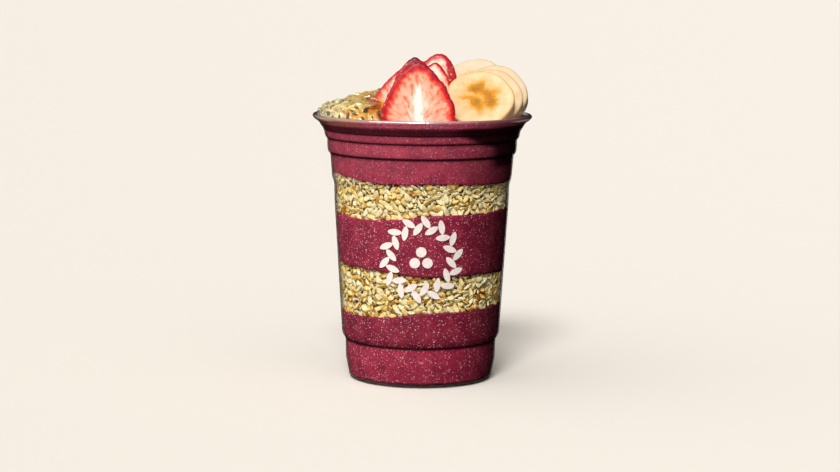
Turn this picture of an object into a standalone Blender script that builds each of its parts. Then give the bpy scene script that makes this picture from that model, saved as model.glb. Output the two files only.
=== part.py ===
"""Acai bowl served in a clear cup: layers of acai and granola under sliced fruit.

Metres, +Z up. The origin is the centre of the foot and the front looks towards -Y.
Layer heights are given at the left, the front and the right of the cup wall.
"""
import math
import random

import bmesh
import bpy
from mathutils import Matrix, Vector, noise

MM = 0.001
GAP = 0.3 * MM
GOLDEN_ANGLE = 2.4
GOLDEN_SHARE = 0.618

# Clear cup, turned in one piece, radius and height in millimetres from foot to lip
SEGMENTS = 40
WALL = 0.6 * MM
FLOOR_TOP = 2.0 * MM
UNDERSIDE = [(0.0, 1.2), (26.4, 1.2), (27.0, 0.0), (31.0, 0.0)]
HEEL_AND_STEP = [(31.8, 1.0), (33.5, 9.3), (33.7, 17.6), (35.3, 20.5)]
PLAIN_WALL = [(36.85, 45.6), (38.9, 79.5), (39.1, 87.6), (40.1, 90.7), (40.9, 100.9)]
RIDGES = [(42.0, 102.0), (42.2, 107.5), (43.3, 108.7), (43.8, 111.5)]
COLLAR = [(45.3, 113.8), (46.2, 115.3)]
LIP = [(48.3, 116.7), (49.0, 117.7), (48.4, 118.8), (46.9, 118.5)]
OUTER_WALL = HEEL_AND_STEP + PLAIN_WALL + RIDGES + COLLAR

# Layer boundaries on the wall, millimetres at left, front and right
GRANOLA_LOWER_FOOT = (29.8, 33.2, 34.4)
GRANOLA_LOWER_HEAD = (53.4, 50.6, 49.6)
GRANOLA_UPPER_FOOT = (74.4, 75.9, 78.0)
GRANOLA_UPPER_HEAD = (93.0, 90.5, 90.1)
RIPPLE = 0.35 * MM

# Where each layer boundary bends between the wall and the axis, as a share of the radius
BEND = 0.6

# Top of the acai, nearly flat under the fruit
ACAI_EDGE_HEIGHT = 116.6 * MM
ACAI_DOME = 0.8 * MM
ACAI_WAVE = 0.35 * MM
ACAI_WAVE_SIZE = (9.0 * MM, 7.0 * MM)
ACAI_SHARES = (1.0, 0.8, 0.5)

# Granola, a core with bumps and flakes pressed against the wall
GRANOLA_ROWS = 3
GRANOLA_DEPTH = 0.82 * MM
GRANOLA_BUMP = 0.66 * MM
GRANOLA_BUMP_SIZE = 6.0 * MM
SHOULDER_CLEARANCE = 2.5 * MM
FLAKES_PER_LAYER = 50
FLAKE_ROUNDS = 5.0
FLAKE_SIDES = 7
FLAKE_MARGIN = 0.7 * MM
FLAKE_SIZE = (3.0 * MM, 2.3 * MM, 1.1 * MM)
FLAKE_SIZE_SPREAD = 0.25
FLAKE_BAND = (0.14, 0.86)
FLAKE_STRAY = (0.3, 0.06)
FLAKE_TILT = 0.35

# Strawberry slices, cut lengthwise and standing tip up
STRAWBERRY_THICKNESS = 4.3 * MM
STRAWBERRY_SHOULDER = 5.0 * MM
STRAWBERRY_BEVEL = 0.9 * MM
STRAWBERRY_SHOULDER_TAPER = 0.7
STRAWBERRY_POINTS = 24
STRAWBERRY_SLICES = {
    # name: half width, height, taper, x, y, z of the widest line in mm, lean and roll in degrees
    "strawberry_slice_front": (16.1, 25.8, 1.65, -1.6, -31.0, 117.8, 11.0, -1.0),
    "strawberry_slice_second": (13.2, 27.0, 1.4, -2.2, -25.6, 118.2, 11.0, -3.0),
    "strawberry_slice_left": (16.8, 23.6, 1.65, -6.2, -20.2, 116.4, 11.0, -7.0),
    "strawberry_slice_inner": (11.4, 25.2, 1.3, 1.5, -9.6, 117.2, 12.0, 10.0),
    "strawberry_slice_outer": (12.6, 27.2, 1.1, 2.8, 1.4, 118.6, 12.0, 12.0),
}

# Banana slices, leaning back on each other at the right
BANANA_RADIUS = 15.0 * MM
BANANA_THICKNESS = 6.4 * MM
BANANA_BEVEL = 0.7 * MM
BANANA_FIVE_SIDES = 0.018
BANANA_FLATNESS = 0.01
BANANA_POINTS = 28
BANANA_SLICES = {
    # name: x, y, z of the front face's centre in mm, lean and turn in degrees, size factor
    "banana_slice_front": (24.9, -19.5, 127.0, 40.0, 3.0, 1.0),
    "banana_slice_second": (29.0, -9.0, 126.6, 35.0, 4.0, 1.0),
    "banana_slice_third": (31.5, 1.2, 127.3, 30.0, 5.0, 1.0),
    "banana_slice_back": (24.0, 13.2, 128.6, 26.0, 4.0, 1.03),
}

# Passion fruit pulp, a heap of juicy sacs against the left wall
PULP_CENTRE = (-30.0 * MM, -4.0 * MM)
PULP_REACH = 30.0 * MM
PULP_SIDE = 12.4 * MM
PULP_SIDE_BEHIND = 9.0 * MM
PULP_POINTS = 24
PULP_SHARES = (0.9, 0.65, 0.35)
PULP_EDGE = 1.3 * MM
PULP_WALL_HEIGHT = 2.4 * MM
PULP_RISE = 8.4 * MM
PULP_RISE_WIDTH = 24.0 * MM
PULP_WALL_GAP = 0.4 * MM
PULP_BUMP = 0.5 * MM
PULP_BUMP_SIZE = 4.0 * MM
PULP_SACS = 26
SAC_SIZE = (3.9 * MM, 2.6 * MM, 2.0 * MM)
SAC_SIZE_SPREAD = 0.15
SAC_SHARE = 0.86
SAC_TILT = 0.5

COLOURS = {
    # name: red, green, blue, alpha, roughness
    "clear_plastic": (0.92, 0.93, 0.94, 0.35, 0.08),
    "acai": (0.30, 0.045, 0.075, 1.0, 0.45),
    "granola": (0.62, 0.42, 0.20, 1.0, 0.80),
    "strawberry": (0.78, 0.07, 0.05, 1.0, 0.35),
    "banana": (0.92, 0.74, 0.42, 1.0, 0.45),
    "passion_fruit_pulp": (0.55, 0.33, 0.06, 1.0, 0.15),
}


def make_material(name):
    """A Principled material with the colour and roughness of one substance."""
    red, green, blue, alpha, roughness = COLOURS[name]
    material = bpy.data.materials.new(name)
    material.use_nodes = True
    shader = material.node_tree.nodes["Principled BSDF"]
    shader.inputs["Base Color"].default_value = (red, green, blue, 1.0)
    shader.inputs["Roughness"].default_value = roughness
    shader.inputs["Metallic"].default_value = 0.0
    shader.inputs["Alpha"].default_value = alpha
    return material


def make_object(name, bm, material, smooth=35.0):
    """Turn a bmesh into a named object, shaded smooth up to an edge angle in degrees."""
    bmesh.ops.recalc_face_normals(bm, faces=bm.faces)
    mesh = bpy.data.meshes.new(name)
    bm.to_mesh(mesh)
    bm.free()
    mesh.shade_smooth()
    mesh.set_sharp_from_angle(angle=math.radians(smooth))
    mesh.materials.append(material)
    obj = bpy.data.objects.new(name, mesh)
    bpy.context.scene.collection.objects.link(obj)
    return obj


def skin(rings):
    """A closed surface over rings of points; a ring of one point is a pole."""
    bm = bmesh.new()
    rows = [[bm.verts.new(point) for point in ring] for ring in rings]
    for low, high in zip(rows, rows[1:]):
        count = max(len(low), len(high))
        for i in range(count):
            j = (i + 1) % count
            corners = [low[i % len(low)], low[j % len(low)], high[j % len(high)], high[i % len(high)]]
            bm.faces.new(list(dict.fromkeys(corners)))
    return bm


def outer_radius(z):
    """Outside radius of the cup wall at a height."""
    points = [(h * MM, r * MM) for r, h in OUTER_WALL]
    if z <= points[0][0]:
        return points[0][1]
    for (z0, r0), (z1, r1) in zip(points, points[1:]):
        if z <= z1:
            return r0 + (r1 - r0) * (z - z0) / (z1 - z0)
    return points[-1][1]


def room_radius(z):
    """Radius that the contents may fill at a height."""
    return outer_radius(z) - WALL - GAP


def turn(index, count):
    """Angle of one of count steps round the cup."""
    return 2.0 * math.pi * index / count


def boundary(levels, angle, share=1.0):
    """Height of a layer boundary at an angle; share 1 is at the wall and 0 on the axis."""
    left, front, right = (level * MM for level in levels)
    middle = (left + right) / 2.0
    swing = (right - left) / 2.0 * math.cos(angle) + (middle - front) * math.sin(angle)
    ripple = RIPPLE * (math.sin(3.0 * angle + levels[0]) + math.sin(5.0 * angle + levels[2]))
    return middle + (swing + ripple) * share * share


def acai_top(x, y):
    """Height of the acai's upper surface."""
    share = min(1.0, math.hypot(x, y) / room_radius(ACAI_EDGE_HEIGHT))
    across, along = ACAI_WAVE_SIZE
    wave = ACAI_WAVE * math.sin(x / across) * math.cos(y / along) * (1.0 - share)
    return ACAI_EDGE_HEIGHT + ACAI_DOME * (1.0 - share * share) + wave


def level_ring(levels, share, offset):
    """Points of a layer boundary at a share of the radius, moved up by offset."""
    ring = []
    for i in range(SEGMENTS):
        angle = turn(i, SEGMENTS)
        z = boundary(levels, angle, share) + offset
        radius = room_radius(z) * share
        ring.append((radius * math.cos(angle), radius * math.sin(angle), z))
    return ring


def round_ring(radius, z, count=SEGMENTS):
    """Points of a level circle."""
    angles = [turn(i, count) for i in range(count)]
    return [(radius * math.cos(angle), radius * math.sin(angle), z) for angle in angles]


def blend_rings(low, high, share):
    """The ring part of the way from one ring to another, kept on the wall."""
    ring = []
    for a, b in zip(low, high):
        z = a[2] + (b[2] - a[2]) * share
        angle = math.atan2(a[1], a[0])
        ring.append((room_radius(z) * math.cos(angle), room_radius(z) * math.sin(angle), z))
    return ring


def pole(levels, offset):
    """The single point where a layer boundary meets the axis."""
    return [(0.0, 0.0, boundary(levels, 0.0, 0.0) + offset)]


def make_cup(material):
    """Thin turned wall with stacking steps, ridges, a rolled lip and a raised floor."""
    outline = UNDERSIDE + OUTER_WALL + LIP
    outline += [(r - WALL / MM, z) for r, z in reversed(OUTER_WALL) if z * MM > FLOOR_TOP]
    outline += [(OUTER_WALL[0][0] - WALL / MM, FLOOR_TOP / MM), (0.0, FLOOR_TOP / MM)]
    bm = bmesh.new()
    verts = [bm.verts.new((r * MM, 0.0, z * MM)) for r, z in outline]
    edges = [bm.edges.new(pair) for pair in zip(verts, verts[1:])]
    bmesh.ops.spin(bm, geom=verts + edges, cent=(0, 0, 0), axis=(0, 0, 1),
                   angle=2.0 * math.pi, steps=SEGMENTS, use_merge=True)
    bmesh.ops.remove_doubles(bm, verts=bm.verts, dist=0.01 * MM)
    return make_object("cup", bm, material)


def make_acai_lower(material):
    """Acai from the floor of the cup to the lower granola."""
    floor = FLOOR_TOP + GAP
    head = level_ring(GRANOLA_LOWER_FOOT, 1.0, -GAP)
    steps = [round_ring(room_radius(z * MM), z * MM) for _, z in HEEL_AND_STEP if z * MM > floor]
    rings = [[(0.0, 0.0, floor)], round_ring(room_radius(floor), floor)] + steps
    rings += [head, level_ring(GRANOLA_LOWER_FOOT, BEND, -GAP), pole(GRANOLA_LOWER_FOOT, -GAP)]
    return make_object("acai_lower", skin(rings), material)


def make_acai_middle(material):
    """Acai between the two granola layers."""
    foot = level_ring(GRANOLA_LOWER_HEAD, 1.0, GAP)
    head = level_ring(GRANOLA_UPPER_FOOT, 1.0, -GAP)
    rings = [pole(GRANOLA_LOWER_HEAD, GAP), level_ring(GRANOLA_LOWER_HEAD, BEND, GAP), foot]
    rings += [blend_rings(foot, head, 0.5), head]
    rings += [level_ring(GRANOLA_UPPER_FOOT, BEND, -GAP), pole(GRANOLA_UPPER_FOOT, -GAP)]
    return make_object("acai_middle", skin(rings), material)


def make_acai_top(material):
    """Acai from the upper granola to the domed top, following the ridges of the wall."""
    foot = level_ring(GRANOLA_UPPER_HEAD, 1.0, GAP)
    rings = [pole(GRANOLA_UPPER_HEAD, GAP), level_ring(GRANOLA_UPPER_HEAD, BEND, GAP), foot]
    for _, z in [PLAIN_WALL[-1]] + RIDGES + [COLLAR[0]]:
        rings.append(round_ring(room_radius(z * MM), z * MM))
    edge_radius = room_radius(ACAI_EDGE_HEIGHT)
    for share in ACAI_SHARES:
        circle = round_ring(edge_radius * share, 0.0)
        rings.append([(x, y, acai_top(x, y)) for x, y, _ in circle])
    rings.append([(0.0, 0.0, acai_top(0.0, 0.0))])
    return make_object("acai_top", skin(rings), material)


def granola_room(z):
    """Radius for granola, held in below the shoulder step of the wall."""
    return room_radius(z - SHOULDER_CLEARANCE) * math.cos(math.pi / SEGMENTS)


def make_granola(name, foot_levels, head_levels, material, seed):
    """A bumpy core with oat flakes and clusters fused on where it meets the wall."""
    rings = [pole(foot_levels, GAP), level_ring(foot_levels, BEND, GAP)]
    for row in range(GRANOLA_ROWS + 1):
        ring = []
        for i in range(SEGMENTS):
            angle = turn(i, SEGMENTS)
            foot = boundary(foot_levels, angle) + GAP
            head = boundary(head_levels, angle) - GAP
            z = foot + (head - foot) * row / GRANOLA_ROWS
            radius = granola_room(z)
            place = Vector((radius * math.cos(angle), radius * math.sin(angle), z)) / GRANOLA_BUMP_SIZE
            radius -= GRANOLA_DEPTH + GRANOLA_BUMP * noise.noise(place)
            ring.append((radius * math.cos(angle), radius * math.sin(angle), z))
        rings.append(ring)
    rings += [level_ring(head_levels, BEND, -GAP), pole(head_levels, -GAP)]
    core = make_object(name, skin(rings), material)
    rng = random.Random(seed)
    fuse(core, [make_flake(i, rng, foot_levels, head_levels, material) for i in range(FLAKES_PER_LAYER)])
    return core


def make_flake(index, rng, foot_levels, head_levels, material):
    """One low flake lying against the wall, kept inside its layer."""
    stray_round, stray_up = FLAKE_STRAY
    lowest_share, highest_share = FLAKE_BAND
    angle = turn(index + rng.uniform(-stray_round, stray_round), FLAKES_PER_LAYER) * FLAKE_ROUNDS
    foot = boundary(foot_levels, angle)
    head = boundary(head_levels, angle)
    share = (GOLDEN_SHARE * index + rng.uniform(-stray_up, stray_up)) % 1.0
    z = foot + (head - foot) * (lowest_share + (highest_share - lowest_share) * share)
    smallest, largest = 1.0 - FLAKE_SIZE_SPREAD, 1.0 + FLAKE_SIZE_SPREAD
    size = [side * rng.uniform(smallest, largest) for side in FLAKE_SIZE]
    bm = skin([[(0.0, 0.0, -1.0)], round_ring(1.0, 0.0, FLAKE_SIDES), [(0.0, 0.0, 1.0)]])
    flat = Matrix.Rotation(rng.uniform(0.0, math.pi), 4, "Z") @ Matrix.Diagonal((*size, 1.0))
    upright = Matrix.Rotation(math.radians(90.0) + rng.uniform(-FLAKE_TILT, FLAKE_TILT), 4, "Y")
    place = Matrix.Translation((granola_room(z) - size[2], 0.0, z))
    bm.transform(Matrix.Rotation(angle, 4, "Z") @ place @ upright @ flat)
    for vert in bm.verts:
        around = math.atan2(vert.co.y, vert.co.x)
        lowest = boundary(foot_levels, around) + FLAKE_MARGIN
        highest = boundary(head_levels, around) - FLAKE_MARGIN
        vert.co.z = min(max(vert.co.z, lowest), highest)
        reach = min(math.hypot(vert.co.x, vert.co.y), granola_room(vert.co.z))
        vert.co.x = reach * math.cos(around)
        vert.co.y = reach * math.sin(around)
    return make_object("flake", bm, material)


def apply_modifiers(obj):
    """Replace the mesh with the evaluated one and drop the modifiers."""
    graph = bpy.context.evaluated_depsgraph_get()
    mesh = bpy.data.meshes.new_from_object(obj.evaluated_get(graph))
    obj.modifiers.clear()
    obj.data = mesh


def keep_main_body(obj):
    """Drop loose scraps and the walls of sealed hollows, which are separate shells."""
    bm = bmesh.new()
    bm.from_mesh(obj.data)
    bmesh.ops.triangulate(bm, faces=bm.faces)
    bmesh.ops.remove_doubles(bm, verts=bm.verts, dist=0.002 * MM)
    bmesh.ops.dissolve_degenerate(bm, edges=bm.edges, dist=0.002 * MM)
    unseen = set(bm.verts)
    shells = []
    while unseen:
        shell = [unseen.pop()]
        for vert in shell:
            for edge in vert.link_edges:
                other = edge.other_vert(vert)
                if other in unseen:
                    unseen.remove(other)
                    shell.append(other)
        shells.append(shell)
    shells.sort(key=len)
    scraps = [vert for shell in shells[:-1] for vert in shell]
    bmesh.ops.delete(bm, geom=scraps, context="VERTS")
    bm.to_mesh(obj.data)
    bm.free()


def boolean(obj, pieces, operation):
    """Join or cut with a collection of pieces, then remove the collection's objects."""
    group = bpy.data.collections.new(obj.name + "_pieces")
    for piece in pieces:
        bpy.context.scene.collection.objects.unlink(piece)
        group.objects.link(piece)
    bpy.context.scene.collection.children.link(group)
    modifier = obj.modifiers.new(operation.lower(), "BOOLEAN")
    modifier.operation = operation
    modifier.operand_type = "COLLECTION"
    modifier.collection = group
    modifier.solver = "EXACT"
    apply_modifiers(obj)
    for piece in pieces:
        bpy.data.objects.remove(piece)
    bpy.data.collections.remove(group)
    keep_main_body(obj)


def fuse(core, pieces):
    """Union a core with the pieces that show on it."""
    boolean(core, pieces, "UNION")


def cut(obj, pieces):
    """Cut pockets for pieces that sink into an object."""
    boolean(obj, pieces, "DIFFERENCE")


def stand(x, y, z, lean, facing, roll):
    """Matrix that puts a flat piece, facing -Y, at a place: lean back, turn left, roll right."""
    place = Matrix.Translation((x * MM, y * MM, z * MM))
    turned = Matrix.Rotation(math.radians(-facing), 4, "Z")
    leaned = Matrix.Rotation(math.radians(-lean), 4, "X")
    rolled = Matrix.Rotation(math.radians(roll), 4, "Y")
    return place @ turned @ leaned @ rolled


def slab(outline, front, back, bevel, matrix):
    """A flat piece with eased edges between two depths, from an outline in X and Z."""
    rings = [[(0.0, front, 0.0)]]
    for depth, inset in ((front, bevel), (front + bevel, 0.0), (back - bevel, 0.0), (back, bevel)):
        ring = []
        for x, z in outline:
            shrink = 1.0 - inset / max(math.hypot(x, z), bevel)
            ring.append((x * shrink, depth, z * shrink))
        rings.append(ring)
    rings.append([(0.0, back, 0.0)])
    bm = skin(rings)
    bm.transform(matrix)
    return bm


def strawberry_outline(half_width, height, taper, grow):
    """A blunt cone with rounded shoulders: the widest line is at zero, the tip at the top."""
    outline = []
    for i in range(STRAWBERRY_POINTS):
        angle = turn(i, STRAWBERRY_POINTS)
        side = math.copysign(1.0, math.cos(angle))
        across = abs(math.cos(angle))
        if math.sin(angle) >= 0.0:
            x = (half_width + grow) * across ** taper
            z = (height + grow) * math.sin(angle)
        else:
            x = (half_width + grow) * across ** STRAWBERRY_SHOULDER_TAPER
            z = (STRAWBERRY_SHOULDER + grow) * math.sin(angle)
        outline.append((side * x, z))
    return outline


def make_strawberry_slice(name, material, grow=0.0):
    """One lengthwise slice, a little larger when it serves as a cutter."""
    half_width, height, taper, x, y, z, lean, roll = STRAWBERRY_SLICES[name]
    outline = strawberry_outline(half_width * MM, height * MM, taper, grow)
    depth = STRAWBERRY_THICKNESS / 2.0 + grow
    bm = slab(outline, -depth, depth, STRAWBERRY_BEVEL, stand(x, y, z, lean, 0.0, roll))
    return make_object(name, bm, material)


def banana_outline(radius, grow):
    """A circle with the faint five sides of a peeled banana."""
    outline = []
    for i in range(BANANA_POINTS):
        angle = turn(i, BANANA_POINTS)
        sides = BANANA_FIVE_SIDES * math.cos(5.0 * angle) + BANANA_FLATNESS * math.cos(2.0 * angle)
        reach = radius * (1.0 + sides) + grow
        outline.append((reach * math.cos(angle), reach * math.sin(angle)))
    return outline


def make_banana_slice(name, material, grow=0.0):
    """One round slice, a little larger when it serves as a cutter."""
    x, y, z, lean, facing, factor = BANANA_SLICES[name]
    outline = banana_outline(BANANA_RADIUS * factor, grow)
    matrix = stand(x, y, z, lean, facing, 0.0)
    bm = slab(outline, -grow, BANANA_THICKNESS + grow, BANANA_BEVEL, matrix)
    return make_object(name, bm, material)


def pulp_reach(angle):
    """Length of the heap's footprint from its centre, kept off the wall and the strawberries."""
    centre_x, centre_y = PULP_CENTRE
    wave = 1.0 + 0.06 * math.sin(3.0 * angle + 1.0) + 0.04 * math.sin(5.0 * angle)
    limit = room_radius(ACAI_EDGE_HEIGHT) - PULP_WALL_GAP
    along = centre_x * math.cos(angle) + centre_y * math.sin(angle)
    to_wall = -along + math.sqrt(along ** 2 + limit ** 2 - centre_x ** 2 - centre_y ** 2)
    side = PULP_SIDE + PULP_SIDE_BEHIND * max(0.0, math.sin(angle))
    return min(PULP_REACH * wave, to_wall, side / max(math.cos(angle), 0.1))


def pulp_point(angle, share):
    """Place on the heap's footprint at an angle and a share of its reach."""
    reach = pulp_reach(angle) * share
    return PULP_CENTRE[0] + reach * math.cos(angle), PULP_CENTRE[1] + reach * math.sin(angle)


def pulp_top(x, y):
    """Height of the heap's upper surface, rising from the wall towards the strawberries."""
    from_wall = x + room_radius(ACAI_EDGE_HEIGHT)
    inward = min(1.0, max(0.0, from_wall / PULP_RISE_WIDTH))
    along = (y - PULP_CENTRE[1]) / PULP_REACH
    fall = math.sqrt(max(0.05, 1.0 - along ** 2))
    lumps = PULP_BUMP * noise.noise(Vector((x, y, 0.0)) / PULP_BUMP_SIZE)
    return acai_top(x, y) + (PULP_WALL_HEIGHT + PULP_RISE * inward ** 0.8) * fall + lumps


def make_pulp(material):
    """Heap of juicy sacs, each round a seed, resting on the acai."""
    angles = [turn(i, PULP_POINTS) for i in range(PULP_POINTS)]
    rings = [[(*PULP_CENTRE, acai_top(*PULP_CENTRE) + GAP)]]
    for share, lift in ((0.5, GAP), (1.0, GAP), (1.0, PULP_EDGE)):
        places = [pulp_point(angle, share) for angle in angles]
        rings.append([(x, y, acai_top(x, y) + lift) for x, y in places])
    for share in PULP_SHARES:
        places = [pulp_point(angle, share) for angle in angles]
        rings.append([(x, y, pulp_top(x, y)) for x, y in places])
    rings.append([(*PULP_CENTRE, pulp_top(*PULP_CENTRE))])
    core = make_object("passion_fruit_pulp", skin(rings), material)
    rng = random.Random(7)
    fuse(core, [make_sac(i, rng, material) for i in range(PULP_SACS)])
    return core


def make_sac(index, rng, material):
    """One sac half sunk in the heap, kept off the acai and the wall."""
    x, y = pulp_point(GOLDEN_ANGLE * index, SAC_SHARE * math.sqrt((index + 0.5) / PULP_SACS))
    bm = bmesh.new()
    bmesh.ops.create_icosphere(bm, subdivisions=1, radius=1.0)
    smallest, largest = 1.0 - SAC_SIZE_SPREAD, 1.0 + SAC_SIZE_SPREAD
    shape = Matrix.Diagonal((*[side * rng.uniform(smallest, largest) for side in SAC_SIZE], 1.0))
    spin = Matrix.Rotation(rng.uniform(0.0, math.pi), 4, "Z")
    tilt = Matrix.Rotation(rng.uniform(-SAC_TILT, SAC_TILT), 4, "Y")
    bm.transform(Matrix.Translation((x, y, pulp_top(x, y))) @ spin @ tilt @ shape)
    limit = room_radius(ACAI_EDGE_HEIGHT) - PULP_WALL_GAP
    for vert in bm.verts:
        vert.co.z = max(vert.co.z, acai_top(vert.co.x, vert.co.y) + 2.0 * GAP)
        shrink = min(1.0, limit / math.hypot(vert.co.x, vert.co.y))
        vert.co.x *= shrink
        vert.co.y *= shrink
    return make_object("sac", bm, material)


def fruit_cutters(material):
    """Copies of all slices, larger by the gap."""
    pieces = [make_strawberry_slice(name, material, GAP) for name in STRAWBERRY_SLICES]
    pieces += [make_banana_slice(name, material, GAP) for name in BANANA_SLICES]
    return pieces


def main():
    for obj in list(bpy.data.objects):
        bpy.data.objects.remove(obj, do_unlink=True)
    materials = {name: make_material(name) for name in COLOURS}
    make_cup(materials["clear_plastic"])
    make_acai_lower(materials["acai"])
    make_granola("granola_lower", GRANOLA_LOWER_FOOT, GRANOLA_LOWER_HEAD, materials["granola"], 3)
    make_acai_middle(materials["acai"])
    make_granola("granola_upper", GRANOLA_UPPER_FOOT, GRANOLA_UPPER_HEAD, materials["granola"], 5)
    top = make_acai_top(materials["acai"])
    cut(top, fruit_cutters(materials["acai"]))
    pulp = make_pulp(materials["passion_fruit_pulp"])
    cut(pulp, fruit_cutters(materials["passion_fruit_pulp"]))
    for name in STRAWBERRY_SLICES:
        make_strawberry_slice(name, materials["strawberry"])
    for name in BANANA_SLICES:
        make_banana_slice(name, materials["banana"])


main()
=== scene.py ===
"""Looks of a clear cup of acai and granola layers, topped with fruit and passion fruit pulp.

Metres, +Z up. The origin is the centre of the foot and the front looks towards -Y.
Sizes repeat those of the solids, so that each piece lies where its solid is.
"""
import math

import bmesh
import bpy
import numpy as np
from mathutils import Matrix, Vector, noise


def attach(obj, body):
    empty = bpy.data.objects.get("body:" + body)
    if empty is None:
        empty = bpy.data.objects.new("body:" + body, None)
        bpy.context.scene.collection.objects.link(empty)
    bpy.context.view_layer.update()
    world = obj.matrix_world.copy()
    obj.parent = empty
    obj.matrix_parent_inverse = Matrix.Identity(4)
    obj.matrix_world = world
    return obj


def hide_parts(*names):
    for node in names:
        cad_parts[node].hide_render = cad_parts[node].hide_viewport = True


MM = 0.001
TURN = 2.0 * math.pi
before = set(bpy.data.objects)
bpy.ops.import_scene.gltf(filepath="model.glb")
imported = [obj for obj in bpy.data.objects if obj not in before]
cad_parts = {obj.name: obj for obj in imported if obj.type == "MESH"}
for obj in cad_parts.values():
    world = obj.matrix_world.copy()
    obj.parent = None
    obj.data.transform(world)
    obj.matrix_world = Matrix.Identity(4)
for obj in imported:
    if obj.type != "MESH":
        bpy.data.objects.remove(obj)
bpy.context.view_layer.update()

# Camera: place in metres, angle downwards and sideways roll in radians, lens in mm
CAMERA_PLACE = (-0.000585, -1.050527, 0.193975)
CAMERA_DOWN = 0.123441
CAMERA_ROLL = 0.0084338
CAMERA_LENS = 101.14

# Clear cup, radius and height in millimetres from foot to lip
WALL = 0.6 * MM
FLOOR_TOP = 2.0 * MM
UNDERSIDE = [(26.4, 1.2), (27.0, 0.0), (31.0, 0.0)]
HEEL_AND_STEP = [(31.8, 1.0), (33.5, 9.3), (33.7, 17.6), (35.3, 20.5)]
PLAIN_WALL = [(36.85, 45.6), (38.9, 79.5), (39.1, 87.6), (40.1, 90.7), (40.9, 100.9)]
RIDGES = [(42.0, 102.0), (42.3, 104.8), (42.2, 107.5), (43.3, 108.7), (43.8, 111.5)]
COLLAR = [(45.3, 113.8), (46.2, 115.3)]
LIP = [(48.3, 116.7), (49.0, 117.7), (48.4, 118.8), (46.9, 118.5)]
LIP_FROM = 115.4 * MM
CORNER = 0.8
ROUND = 192

# Print on the front of the wall
PRINT_HEIGHT = 58.0 * MM
PRINT_RADIUS = 15.0 * MM
PRINT_LEAVES = 14
PRINT_LEAF = 6.6 * MM
PRINT_LEAF_SPREAD = 1.6 * MM
PRINT_LEAF_LEAN = 0.75
PRINT_BERRY = 4.6 * MM
PRINT_BERRY_REACH = 3.2 * MM
INK_LIFT = 0.06 * MM

# Layer boundaries on the wall, millimetres at left, front and right
GRANOLA_LOWER_FOOT = (29.8, 33.2, 34.4)
GRANOLA_LOWER_HEAD = (53.4, 50.6, 49.6)
GRANOLA_UPPER_FOOT = (74.4, 75.9, 78.0)
GRANOLA_UPPER_HEAD = (93.0, 90.5, 90.1)
RIPPLE = 0.35 * MM
CRUMBLE = 0.5 * MM
CRUMBLE_SIZE = 3.0 * MM

# Acai; what fills the cup reaches into the wall by the bite
BITE = 0.1 * MM
ACAI_EDGE_HEIGHT = 116.6 * MM
ACAI_DOME = 0.8 * MM
ACAI_CLIMB = 1.1 * MM
ACAI_SWIRL = 0.35 * MM
ACAI_ROWS = {"lower": 40, "middle": 20, "top": 64}
FROST_TINT = "#f2c9cf"
FROST_SPECKS = [
    # Width of a cell in mm, radius of its speck as a share of it, share of cells left empty, strength
    (0.85, 0.34, 0.35, 0.85),
    (2.0, 0.19, 0.4, 0.95),
]
ACAI_EASES = {
    # What changes with height or sideways: axis, start and end in mm, value at the start and at the end
    "light": ("Z", 20.0, 95.0, 0.72, 1.06),
    "foot": ("Z", 17.4, 18.4, 0.27, 0.0),
    "bloom": ("Z", 86.0, 98.0, 0.0, 0.035),
    "icy": ("Z", 76.0, 94.0, 1.0, 0.42),
    "shaded": ("X", 14.0, 41.0, 0.0, 0.85),
    "raised": ("Z", 92.0, 98.0, 0.0, 1.0),
    "under_lip": ("Z", 114.2, 115.6, 1.0, 0.0),
    "collar": ("Z", 111.6, 112.4, 0.0, 0.8),
    "seeped": ("X", -22.0, -38.0, 0.0, 0.75),
    "topmost": ("Z", 114.6, 115.8, 0.0, 1.0),
}
WALL_SHADOWS = [
    # Painted shade in dark lines at the stacking step, the ridges and the collar: height and half width in
    # mm, depth
    (17.9, 1.05, 0.9),
    (101.4, 0.9, 0.9),
    (108.0, 0.7, 0.85),
    (111.8, 0.6, 0.9),
]

# Granola: a core, and guides on which crumbs and then flakes are laid
GRANOLA_BANDS = {
    # Depth inside the wall, margin to the layer's boundaries and height of the bumps, in mm
    "core": (2.6, 0.0, 1.2),
    "crumbs": (1.3, 0.3, 1.6),
    "flakes": (0.6, 0.5, 1.0),
}
GRANOLA_PIECES = {
    # Spacing, smallest and largest size in mm, tilt in radians
    "crumbs": (1.2, (0.8, 0.7, 0.7), (2.3, 1.9, 2.0), (1.5, 1.5, math.pi)),
    "flakes": (2.5, (2.0, 1.8, 1.8), (6.4, 4.8, 3.6), (0.8, 0.5, 1.2)),
}
GRANOLA_CLEARANCE = {"core": 0.6 * MM, "crumbs": 0.25 * MM, "flakes": 0.05 * MM}

# Strawberry slices, cut lengthwise and standing tip up
STRAWBERRY_THICKNESS = 4.3 * MM
STRAWBERRY_SHOULDER = 5.0 * MM
STRAWBERRY_BEVEL = 0.9 * MM
STRAWBERRY_RELIEF = 0.22 * MM
STRAWBERRY_SLICES = {
    # name: half width, height, taper, x, y, z of the widest line in mm, lean and roll in degrees
    "strawberry_slice_front": (16.1, 25.8, 1.65, -1.6, -31.0, 117.8, 11.0, -1.0),
    "strawberry_slice_second": (13.2, 27.0, 1.4, -2.2, -25.6, 118.2, 11.0, -3.0),
    "strawberry_slice_left": (16.8, 23.6, 1.65, -6.2, -20.2, 116.4, 11.0, -7.0),
    "strawberry_slice_inner": (11.4, 25.2, 1.3, 1.5, -9.6, 117.2, 12.0, 10.0),
    "strawberry_slice_outer": (12.6, 27.2, 1.1, 2.8, 1.4, 118.6, 12.0, 12.0),
}
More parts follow.
